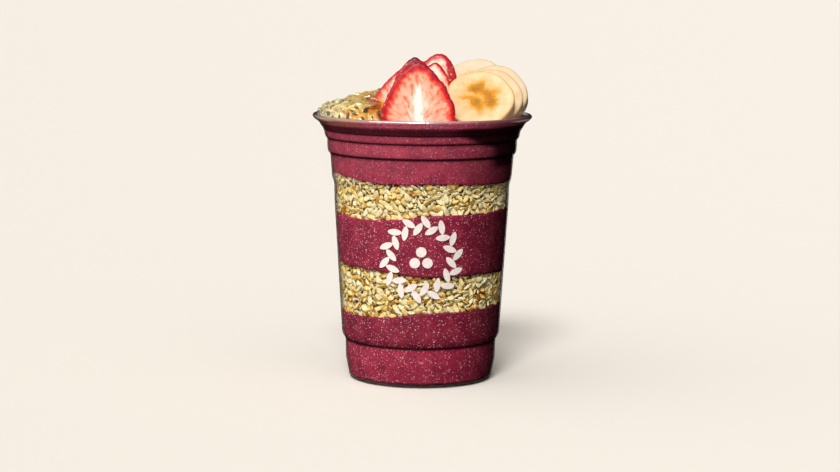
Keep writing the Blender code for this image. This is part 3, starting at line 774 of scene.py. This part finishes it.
def syrup_crumb_and_painted_shade():
    """Syrup-bound crumb in the depth of the granola: brown and rough, and drawn darker as painted shade,
    since it lies mostly in shadow.
    """
    material, tree = blank_material("syrup_bound_crumb_painted_shade")
    place = add(tree, "ShaderNodeTexCoord").outputs["Object"]
    patch = add(tree, "ShaderNodeTexNoise", {"Vector": place, "Scale": 1.0 / (2.0 * MM), "Detail": 4.0})
    ramp = add(tree, "ShaderNodeValToRGB", {0: patch})
    colour = set_stops(ramp, [(0.35, "#4a2a06"), (0.6, "#845112"), (0.8, "#c08c3e")])
    surface = add(tree, "ShaderNodeBsdfPrincipled",
                  {"Base Color": colour, "Roughness": 0.8, "Specular IOR Level": 0.1})
    add(tree, "ShaderNodeOutputMaterial", {"Surface": surface})
    return material


def oat_flake(material):
    """Pattern of a rolled oat a metre long: a thin oval with a ragged edge, a crease and a slight curl."""
    angles = np.arange(10) * TURN / 10
    ragged = 1.0 + 0.12 * np.sin(3.0 * angles) + 0.08 * np.cos(5.0 * angles + 1.0)
    rings = [[(0.0, 0.0, 0.10)]]
    for share, thick in ((0.6, 0.13), (1.0, 0.02), (0.6, -0.10)):
        x, y = 0.5 * share * ragged * np.cos(angles), 0.36 * share * ragged * np.sin(angles)
        crease = -0.07 * np.exp(-(y / 0.07) ** 2) if thick > 0.05 else 0.0
        rings.append(np.stack([x, y, thick + crease + 0.25 * x * x + 0.1 * x * y], axis=1))
    rings.append([(0.0, 0.0, -0.13)])
    return skin("oat_flake_pattern", rings, material)


def oat_crumb(material):
    """Pattern of a crumb a metre wide: a broken cluster with an uneven surface."""
    bm = bmesh.new()
    bmesh.ops.create_icosphere(bm, subdivisions=2, radius=0.5)
    for vert in bm.verts:
        vert.co *= 1.0 + 0.6 * noise.noise(vert.co * 5.0) + 0.25 * noise.noise(vert.co * 11.0)
    mesh = bpy.data.meshes.new("oat_crumb_pattern")
    bm.to_mesh(mesh)
    bm.free()
    return link_mesh("oat_crumb_pattern", mesh, material)


def granola_band(foot_levels, head_levels, kind):
    """Rings inside the wall between two boundaries, for the core or as a guide for what lies on it."""
    depth, margin, bump = [size * MM for size in GRANOLA_BANDS[kind]]
    foot, head = boundary(foot_levels, ANGLES) + margin, boundary(head_levels, ANGLES) - margin
    rings = []
    for share in np.linspace(0.0, 1.0, 17):
        z = foot + (head - foot) * share
        flat = ring(fill_radius(z) - depth, z)
        rings.append(ring(fill_radius(z) - depth - bump * (0.5 + 0.5 * lumps(flat, 4.0 * MM)), z))
    return rings


def press_to_wall(obj, clearance):
    """Flattens what would pass the wall against its inner side; gives the depth of each point before that."""
    points = places(obj)
    reach = np.hypot(points[:, 0], points[:, 1])
    limit = fill_radius(points[:, 2]) - clearance
    points[:, :2] *= np.minimum(1.0, limit / np.maximum(reach, 1.0e-6))[:, None]
    move_points(obj, points)
    return limit - reach


def make_granola(name, foot_levels, head_levels, seed):
    """A brown core, crumbs on it, and oat flakes pressed against the wall."""
    oats, crumb = toasted_oats(), syrup_crumb_and_painted_shade()
    node = "granola_" + name
    rings = [pole(foot_levels)] + level_rings(foot_levels, (0.5, 0.9))
    rings += granola_band(foot_levels, head_levels, "core")
    rings += level_rings(head_levels, (0.9, 0.5)) + [pole(head_levels)]
    pieces = {"core": skin(node + "_core", rings, crumb, 180.0)}
    for count, (kind, pattern) in enumerate((("crumbs", oat_crumb(oats)), ("flakes", oat_flake(oats)))):
        spacing, smallest, largest, tilt = GRANOLA_PIECES[kind]
        smallest, largest = [tuple(side * MM for side in size) for size in (smallest, largest)]
        guide = skin("granola_guide", granola_band(foot_levels, head_levels, kind), crumb)
        pieces[kind] = scatter(node + "_" + kind, guide, pattern, oats, spacing * MM, smallest, largest, tilt,
                               seed + count)
        discard(guide, pattern)
    for kind, piece in pieces.items():
        depth = press_to_wall(piece, GRANOLA_CLEARANCE[kind])
        # Painted shade: the deeper a piece lies behind the wall, the browner it is drawn
        store(piece, "depth", 0.8 * ease(0.9 * MM, 2.8 * MM, depth))
        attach(piece, "root")
        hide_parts(node)


# Flat slices of fruit

def stand(x, y, z, lean, facing, roll):
    """Matrix that puts a flat piece, facing -Y, at a place: lean back, turn left, roll right."""
    place = Matrix.Translation((x * MM, y * MM, z * MM))
    turned = Matrix.Rotation(math.radians(-facing), 4, "Z")
    leaned = Matrix.Rotation(math.radians(-lean), 4, "X")
    rolled = Matrix.Rotation(math.radians(roll), 4, "Y")
    return place @ turned @ leaned @ rolled


def slice_rings(outline, front, back, bevel, relief):
    """Rings over a flat piece with an outline in X and Z: its front face, eased edge and back face."""
    reach = np.hypot(outline[:, 0], outline[:, 1]).mean()
    inner = 1.0 - bevel / reach
    half = [(share, front, 1.0) for share in np.linspace(0.06, inner, 16)]
    for step in np.linspace(0.0, math.pi / 2.0, 4)[1:]:
        half.append((inner + (1.0 - inner) * math.sin(step), front + bevel * (1.0 - math.cos(step)), 0.0))
    rows = half + [(1.0, front + (back - front) * share, 0.0) for share in (0.35, 0.5, 0.65)]
    rows += [(share, front + back - depth, -side) for share, depth, side in reversed(half)]
    rings = []
    for share, depth, side in rows:
        points = np.insert(outline * share, 1, depth, axis=1)
        points[:, 1] -= side * relief * lumps(points, 2.5 * MM) * (1.0 - share ** 6)
        rings.append(points)
    return [[(0.0, front, 0.0)]] + rings + [[(0.0, back, 0.0)]]


def edge_distance(points, outline):
    """Distance of points on a face from its outline, in millimetres."""
    flat = points[:, [0, 2]]
    apart = flat[:, None, :] - outline[None, :, :]
    return np.sqrt((apart ** 2).sum(axis=2)).min(axis=1) / MM


def place_slice(obj, matrix, node):
    """Puts a slice where its solid is and hands it over."""
    obj.data.transform(matrix)
    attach(obj, "root")
    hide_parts(node)


# Strawberry

def strawberry_outline(half_width, height, taper, seed):
    """A blunt cone with rounded shoulders, its edge scalloped by the pits of its seeds."""
    angles = np.arange(180) * TURN / 180
    across, up = np.cos(angles), np.sin(angles)
    wide = np.where(up >= 0.0, np.abs(across) ** taper, np.abs(across) ** 0.7) * half_width * np.sign(across)
    tall = np.where(up >= 0.0, height, STRAWBERRY_SHOULDER) * up
    flat = np.stack([wide, tall, np.zeros_like(wide)], axis=1)
    wave = 0.55 * MM * lumps(flat, 6.0 * MM, seed) + 0.4 * MM * lumps(flat, 1.7 * MM, seed)
    reach = np.maximum(np.hypot(wide, tall), 1.0 * MM)
    return flat[:, :2] * (1.0 + wave / reach)[:, None]


def strawberry_flesh():
    """Ripe strawberry cut lengthwise: moist and translucent, red at the skin, pale at the core, with rays."""
    material, tree = blank_material("cut_strawberry")
    rim, core, peeled, painted_tip_shade, bearing, along = [
        add(tree, "ShaderNodeAttribute", attribute_name=name).outputs["Fac"]
        for name in ("rim", "core", "peel", "painted_tip_shade", "bearing", "along")]
    place = add(tree, "ShaderNodeTexCoord").outputs["Object"]
    cloud = add(tree, "ShaderNodeTexNoise", {"Vector": place, "Scale": 1.0 / (1.9 * MM), "Detail": 5.0})
    fan = add(tree, "ShaderNodeCombineXYZ", {0: bearing, 1: along})
    rays = add(tree, "ShaderNodeTexNoise", {"Vector": fan, "Scale": 1.0, "Detail": 3.0})

    # Flesh, redder towards the rim, with rays that fan out from the foot
    mixed = add(tree, "ShaderNodeMath", {0: cloud, 1: 0.7, 2: -0.35}, operation="MULTIPLY_ADD")
    mixed = add(tree, "ShaderNodeMath", {0: mixed, 1: rim}, operation="ADD")
    mixed = add(tree, "ShaderNodeMath", {0: rays, 1: 0.9, 2: mixed}, operation="MULTIPLY_ADD")
    mixed = add(tree, "ShaderNodeMath", {0: mixed, 1: 0.45}, operation="SUBTRACT")
    ramp = add(tree, "ShaderNodeValToRGB", {0: mixed})
    stops = [(0.0, "#f2ae90"), (0.16, "#ec8667"), (0.34, "#e84e36"), (0.5, "#da1e1c"), (0.82, "#a0051e")]
    colour = set_stops(ramp, stops)

    # Pale core with a ragged edge, then the skin with its seeds and painted shade at the tip
    ragged = add(tree, "ShaderNodeMath", {0: rays, 1: 1.1, 2: -0.55}, operation="MULTIPLY_ADD")
    ragged = add(tree, "ShaderNodeMath", {0: core, 1: ragged}, operation="SUBTRACT")
    pale = add(tree, "ShaderNodeMapRange", {0: ragged, 1: 0.2, 2: 0.95}, interpolation_type="SMOOTHSTEP")
    seeds = add(tree, "ShaderNodeTexVoronoi", {"Vector": place, "Scale": 1.0 / (2.2 * MM)})
    seed = add(tree, "ShaderNodeMapRange", {0: seeds, 1: 0.26, 2: 0.16})
    peel = add(tree, "ShaderNodeMix", {0: seed, 6: linear("#b01220"), 7: linear("#dd9c52")}, data_type="RGBA")
    for share, tint in ((pale, linear("#fdf3e4")), (peeled, peel), (painted_tip_shade, linear("#4a0f1c"))):
        colour = add(tree, "ShaderNodeMix", {0: share, 6: colour, 7: tint}, data_type="RGBA")
    relief = add(tree, "ShaderNodeBump", {"Strength": 0.35, "Distance": 0.3 * MM, "Height": cloud})
    surface = add(tree, "ShaderNodeBsdfPrincipled",
                  {"Base Color": colour, "Roughness": 0.26, "Specular IOR Level": 0.15, "Normal": relief,
                   "Subsurface Weight": 0.1, "Subsurface Scale": 1.2 * MM,
                   "Subsurface Radius": (1.0, 0.35, 0.25)})
    add(tree, "ShaderNodeOutputMaterial", {"Surface": surface})
    return material


def mark_strawberry(slab, outline, height, count, marks):
    """Keeps where the rim, the core, the rays, the skin and the painted shade at the tip of a slice lie."""
    red_rim, skin_rim, skin_side, painted_tip_shade_share, red_tip, core_width, core_share, core_end = marks
    points = places(slab)
    across, depth, up = (points / MM).T
    share = np.clip(up / height, 0.0, 1.0)

    # The rim and the skin end where the slice goes into the acai
    sunk = outline.copy()
    sunk[:, 1] = np.where(outline[:, 1] < 0.0, 3.0 * outline[:, 1], outline[:, 1])
    inset = edge_distance(points, sunk)
    store(slab, "rim", 1.1 * np.exp(-(inset / red_rim) ** 1.6) + red_tip * ease(0.6, 1.0, share))
    edge = ease(0.35, 0.9, STRAWBERRY_THICKNESS / 2.0 / MM - np.abs(depth)) * ease(0.5, 0.1, inset)
    skin_width = skin_rim + skin_side * ease(0.0, 7.0, across) + 0.01
    store(slab, "peel", np.maximum(edge, ease(1.1, 0.85, inset / skin_width)))
    # Painted shade darkens the tip of some slices
    store(slab, "painted_tip_shade", painted_tip_shade_share * ease(0.84, 0.97, share))

    spread = across / (core_width + 1.9 * (1.0 - share))
    core = core_share * np.maximum(np.exp(-spread ** 2), 0.55 * np.exp(-(spread / 2.4) ** 2))
    store(slab, "core", core * ease(core_end, core_end - 0.55, share) * ease(0.0, 2.0, inset))
    store(slab, "bearing", np.arctan2(up + 4.0, across) * 9.0 + 20.0 * count)
    store(slab, "along", np.hypot(up + 4.0, across) * 0.22)


def make_strawberries():
    """Five lengthwise slices that stand in the acai one behind the other."""
    material = strawberry_flesh()
    half = STRAWBERRY_THICKNESS / 2.0
    for count, (node, numbers) in enumerate(STRAWBERRY_SLICES.items()):
        half_width, height, taper, x, y, z, lean, roll = numbers
        outline = strawberry_outline(half_width * MM, height * MM, taper, 3.0 * count)
        rings = slice_rings(outline, -half, half, STRAWBERRY_BEVEL, STRAWBERRY_RELIEF)
        slab = skin("cut_" + node, rings, material, 60.0)
        mark_strawberry(slab, outline, height, count, STRAWBERRY_MARKS[node])
        place_slice(slab, stand(x, y, z, lean, 0.0, roll), node)


# Banana

def banana_outline(radius):
    """A circle with the faint five sides of a peeled banana."""
    angles = np.arange(120) * TURN / 120
    reach = radius * (1.0 + 0.018 * np.cos(5.0 * angles) + 0.01 * np.cos(2.0 * angles))
    return np.stack([reach * np.cos(angles), reach * np.sin(angles)], axis=1)


def banana_flesh():
    """Ripe peeled banana, sliced: creamy and slightly waxy, with a golden star where its seeds would be."""
    material, tree = blank_material("cut_banana")
    face, rim, across, up, tone, pallor = [
        add(tree, "ShaderNodeAttribute", attribute_name=name).outputs["Fac"]
        for name in ("face", "rim", "across", "up", "tone", "pallor")]
    place = add(tree, "ShaderNodeTexCoord").outputs["Object"]
    cloud = add(tree, "ShaderNodeTexNoise", {"Vector": place, "Scale": 1.0 / (3.5 * MM), "Detail": 4.0})
    fine = add(tree, "ShaderNodeTexNoise", {"Vector": place, "Scale": 1.0 / (1.3 * MM), "Detail": 4.0})
    ramp = add(tree, "ShaderNodeValToRGB", {0: cloud})
    colour = set_stops(ramp, [(0.3, "#e5c18f"), (0.5, "#ebcb9d"), (0.7, "#f0d6b0")])
    colour = add(tree, "ShaderNodeMix", {0: rim, 6: colour, 7: linear("#d6a869")}, data_type="RGBA")
    # Painted shade: slices further back carry a lower tone and are drawn darker
    colour = add(tree, "ShaderNodeVectorMath", {0: colour, 3: tone}, operation="SCALE")
    colour = add(tree, "ShaderNodeMix", {0: pallor, 6: colour, 7: linear("#dad4c0")}, data_type="RGBA")

    # Star of overlapping golden patches, their edges shifted by fine noise
    spot = add(tree, "ShaderNodeCombineXYZ", {0: across, 1: up})
    shift = add(tree, "ShaderNodeVectorMath",
                {0: fine.outputs["Color"], 1: (0.26, 0.26, 0.0), 2: (-0.13, -0.13, 0.0)},
                operation="MULTIPLY_ADD")
    spot = add(tree, "ShaderNodeVectorMath", {0: spot, 1: shift}, operation="ADD")
    star = None
    for x, z, wide, high, depth in BANANA_LOBES:
        centre = (BANANA_LOBES_SCALE * x, BANANA_LOBES_SCALE * z + BANANA_LOBES_LIFT, 0.0)
        offset = add(tree, "ShaderNodeVectorMath", {0: spot, 1: centre}, operation="SUBTRACT")
        offset = add(tree, "ShaderNodeVectorMath", {0: offset, 1: (1.0 / wide, 1.0 / high, 0.0)},
                     operation="MULTIPLY")
        reach = add(tree, "ShaderNodeVectorMath", {0: offset}, operation="LENGTH")
        lobe = add(tree, "ShaderNodeMapRange", {0: reach, 1: 1.0, 2: 0.1, 3: 0.0, 4: depth},
                   interpolation_type="SMOOTHSTEP")
        star = add(tree, "ShaderNodeMath", {0: star, 1: lobe}, operation="ADD") if star else lobe
    star = add(tree, "ShaderNodeMath", {0: star, 1: face}, operation="MULTIPLY")
    ripe = add(tree, "ShaderNodeMapRange", {0: star, 1: 0.4, 2: 1.35}, interpolation_type="SMOOTHSTEP")
    gold = add(tree, "ShaderNodeMix", {0: ripe, 6: linear("#dd971c"), 7: linear("#9f6200")}, data_type="RGBA")
    share = add(tree, "ShaderNodeMapRange", {0: star, 1: 0.0, 2: 0.7, 3: 0.0, 4: 0.96})
    colour = add(tree, "ShaderNodeMix", {0: share, 6: colour, 7: gold}, data_type="RGBA")

    relief = add(tree, "ShaderNodeBump", {"Strength": 0.3, "Distance": 0.25 * MM, "Height": fine})
    surface = add(tree, "ShaderNodeBsdfPrincipled",
                  {"Base Color": colour, "Roughness": 0.4, "Specular IOR Level": 0.15, "Normal": relief,
                   "Subsurface Weight": 0.12, "Subsurface Scale": 1.5 * MM,
                   "Subsurface Radius": (1.0, 0.7, 0.4)})
    add(tree, "ShaderNodeOutputMaterial", {"Surface": surface})
    return material


def make_bananas():
    """Four round slices that lean back on each other, each one behind a little paler and darker by painted
    shade.
    """
    material = banana_flesh()
    for count, (node, numbers) in enumerate(BANANA_SLICES.items()):
        x, y, z, lean, facing, factor = numbers
        radius = BANANA_RADIUS * factor
        outline = banana_outline(radius)
        rings = slice_rings(outline, 0.0, BANANA_THICKNESS, BANANA_BEVEL, BANANA_RELIEF)
        disc = skin("cut_" + node, rings, material, 60.0)
        points = places(disc)
        face = ease(2.6, 3.0, np.abs(points[:, 1] / MM - BANANA_THICKNESS / 2.0 / MM))
        spin = math.radians(BANANA_SPIN * count)
        store(disc, "across", (points[:, 0] * math.cos(spin) + points[:, 2] * math.sin(spin)) / radius)
        store(disc, "up", (points[:, 2] * math.cos(spin) - points[:, 0] * math.sin(spin)) / radius)
        store(disc, "face", face)
        store(disc, "rim", ease(1.0, 0.2, edge_distance(points, outline)) * face)
        # Painted shade: each slice behind is darker by one step
        store(disc, "tone", np.full(len(points), BANANA_FRONT_TONE - BANANA_PAINTED_SHADE_STEP * count))
        store(disc, "pallor", np.full(len(points), BANANA_PALLOR * count))
        place_slice(disc, stand(x, y, z, lean, facing, 0.0), node)


# Passion fruit pulp

def pulp_reach(angles):
    """Length of the heap's footprint from its centre, kept off the wall and the strawberries."""
    centre_x, centre_y = PULP_CENTRE
    wave = 1.0 + 0.06 * np.sin(3.0 * angles + 1.0) + 0.04 * np.sin(5.0 * angles)
    limit = fill_radius(ACAI_EDGE_HEIGHT) - PULP_WALL_GAP
    along = centre_x * np.cos(angles) + centre_y * np.sin(angles)
    to_wall = -along + np.sqrt(along ** 2 + limit ** 2 - centre_x ** 2 - centre_y ** 2)
    side = PULP_SIDE + PULP_SIDE_BEHIND * np.maximum(0.0, np.sin(angles))
    return np.minimum(np.minimum(PULP_REACH * wave, to_wall), side / np.maximum(np.cos(angles), 0.1))


def pulp_top(x, y):
    """Height of the heap's upper surface, rising from the wall towards the strawberries."""
    inward = np.clip((x + fill_radius(ACAI_EDGE_HEIGHT)) / PULP_RISE_WIDTH, 0.0, 1.0)
    along = (y - PULP_CENTRE[1]) / PULP_REACH
    fall = np.sqrt(np.maximum(0.05, 1.0 - along ** 2))
    return acai_top(x, y) + (PULP_WALL_HEIGHT + PULP_RISE * inward ** 0.8) * fall


def pooled(tree, place, colour):
    """A colour, deeper in two places where juice pools, and clear near the left wall."""
    for pool, size, tint in PULP_POOLS:
        centre = tuple(value * MM for value in pool)
        away = add(tree, "ShaderNodeVectorMath", {0: place, 1: centre}, operation="DISTANCE")
        share = add(tree, "ShaderNodeMapRange", {0: away, 1: size * MM, 2: 0.4 * size * MM, 3: 0.0, 4: 0.9},
                    interpolation_type="SMOOTHSTEP")
        colour = add(tree, "ShaderNodeMix", {0: share, 6: colour, 7: linear(tint)}, data_type="RGBA")
    side = add(tree, "ShaderNodeSeparateXYZ", {0: place}).outputs["X"]
    clear = add(tree, "ShaderNodeMapRange", {0: side, 1: -24.0 * MM, 2: -38.0 * MM, 3: 0.0, 4: 0.7})
    return add(tree, "ShaderNodeMix", {0: clear, 6: colour, 7: linear("#e4e1d2")}, data_type="RGBA")


def fruit_juice():
    """Juice of ripe passion fruit: wet, clear and orange-yellow, deeper where it pools."""
    material, tree = blank_material("passion_fruit_juice")
    place = add(tree, "ShaderNodeTexCoord").outputs["Object"]
    cloud = add(tree, "ShaderNodeTexNoise", {"Vector": place, "Scale": 1.0 / (5.0 * MM), "Detail": 3.0})
    ramp = add(tree, "ShaderNodeValToRGB", {0: cloud})
    colour = set_stops(ramp, [(0.38, "#4c3c0c"), (0.5, "#a8842c"), (0.64, "#e8d9a4")])
    colour = pooled(tree, place, colour)
    surface = add(tree, "ShaderNodeBsdfPrincipled",
                  {"Base Color": colour, "Roughness": 0.12, "Coat Weight": 0.6, "Coat Roughness": 0.05,
                   "Subsurface Weight": 0.3, "Subsurface Scale": 2.0 * MM,
                   "Subsurface Radius": (1.0, 0.6, 0.15)})
    add(tree, "ShaderNodeOutputMaterial", {"Surface": surface})
    return material


def juice_sac():
    """Taut film of juice round a seed: glassy, pale olive-yellow, so the seed shows through."""
    material, tree = blank_material("passion_fruit_sac")
    tone = add(tree, "ShaderNodeAttribute", attribute_name="tone").outputs["Fac"]
    ramp = add(tree, "ShaderNodeValToRGB", {0: tone})
    colour = set_stops(ramp, [(0.0, "#e8cc70"), (0.5, "#f2e2a0"), (1.0, "#faf4da")])
    colour = pooled(tree, add(tree, "ShaderNodeTexCoord").outputs["Object"], colour)
    glass = add(tree, "ShaderNodeBsdfPrincipled",
                {"Base Color": colour, "Roughness": 0.04, "IOR": 1.42, "Transmission Weight": 0.94,
                 "Coat Weight": 0.45, "Coat Roughness": 0.03, "Coat IOR": 1.5})
    open_way = add(tree, "ShaderNodeBsdfTransparent", {"Color": (0.95, 0.88, 0.6, 1.0)})
    shadow_ray = add(tree, "ShaderNodeLightPath").outputs["Is Shadow Ray"]
    both = add(tree, "ShaderNodeMixShader", {0: shadow_ray, 1: glass, 2: open_way})
    add(tree, "ShaderNodeOutputMaterial", {"Surface": both})
    return material


def fruit_seed():
    """Passion fruit seed: hard, dark brown and faintly mottled."""
    material, tree = blank_material("passion_fruit_seed")
    place = add(tree, "ShaderNodeTexCoord").outputs["Object"]
    cloud = add(tree, "ShaderNodeTexNoise", {"Vector": place, "Scale": 1.0 / (1.5 * MM), "Detail": 2.0})
    ramp = add(tree, "ShaderNodeValToRGB", {0: cloud})
    colour = set_stops(ramp, [(0.3, "#170f04"), (0.7, "#463212")])
    surface = add(tree, "ShaderNodeBsdfPrincipled",
                  {"Base Color": colour, "Roughness": 0.5, "Specular IOR Level": 0.2})
    add(tree, "ShaderNodeOutputMaterial", {"Surface": surface})
    return material


def round_body(name, length, width, height, point, material):
    """Pattern of a sac or a seed: a closed oval body, narrowed towards one end."""
    rings = [[(-0.5 * length, 0.0, 0.0)]]
    around = np.arange(12) * TURN / 12
    for step in range(1, 8):
        angle = math.pi * step / 8
        x = -0.5 * length * math.cos(angle)
        girth = math.sin(angle) * (1.0 - point * (0.5 + x / length))
        rings.append(np.stack([np.full(12, x), 0.5 * width * girth * np.cos(around),
                               0.5 * height * girth * np.sin(around)], axis=1))
    rings.append([(0.5 * length, 0.0, 0.0)])
    return skin(name, rings, material, 180.0)


def heap_ring(share):
    """X and Y round the heap, at a share of its footprint."""
    reach = pulp_reach(ANGLES) * share
    return PULP_CENTRE[0] + reach * np.cos(ANGLES), PULP_CENTRE[1] + reach * np.sin(ANGLES)


def make_pulp():
    """A wet heap with glassy sacs on it, each round a dark seed."""
    juice, film, seed_coat = fruit_juice(), juice_sac(), fruit_seed()
    bottom, upper = [], []
    for share in (0.5, 1.0):
        x, y = heap_ring(share)
        bottom.append(np.stack([x, y, acai_top(x, y) - 0.4 * MM], axis=1))
    for share in (1.0, 0.97, 0.9, 0.8, 0.65, 0.5, 0.35, 0.2):
        x, y = heap_ring(share)
        base, heights = acai_top(x, y), pulp_top(x, y) - PULP_SAC_COVER
        round_off = 1.0 - max(0.0, (share - 0.85) / 0.15) ** 2 * 0.75
        flat = np.stack([x, y, heights], axis=1)
        flat[:, 2] = base + (heights - base) * round_off + 0.5 * MM * lumps(flat, 3.0 * MM)
        upper.append(flat)
    low = [(*PULP_CENTRE, float(acai_top(*PULP_CENTRE)))]
    upper.append([(*PULP_CENTRE, float(pulp_top(*PULP_CENTRE)) - PULP_SAC_COVER)])
    heap = skin("pulp_juice", [low] + bottom + upper, juice, 180.0)
    raised = [np.asarray(level) + (0.0, 0.0, PULP_GUIDE_LIFT) for level in upper]
    guide = skin("sac_guide", raised, juice, 180.0)
    sac = round_body("sac_pattern", *SAC_SIZE, SAC_POINT, film)
    kernel = round_body("seed_pattern", *SEED_SIZE, SEED_POINT, seed_coat)
    sacs = scatter("pulp_sacs", guide, sac, film, SAC_SPACING, *SAC_FACTORS, SAC_TILT, 4)
    seeds = scatter("pulp_seeds", guide, kernel, seed_coat, SAC_SPACING, *SEED_FACTORS, SAC_TILT, 4)
    discard(guide, sac, kernel)
    for piece in (sacs, seeds):
        press_to_wall(piece, PULP_CLEARANCE)
    for piece in (heap, sacs, seeds):
        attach(piece, "root")
        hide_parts("passion_fruit_pulp")


aim_camera()
lay_floor()
set_lights()
make_cup()
make_print()
make_acai()
make_granola("lower", GRANOLA_LOWER_FOOT, GRANOLA_LOWER_HEAD, 3)
make_granola("upper", GRANOLA_UPPER_FOOT, GRANOLA_UPPER_HEAD, 8)
make_strawberries()
make_bananas()
make_pulp()
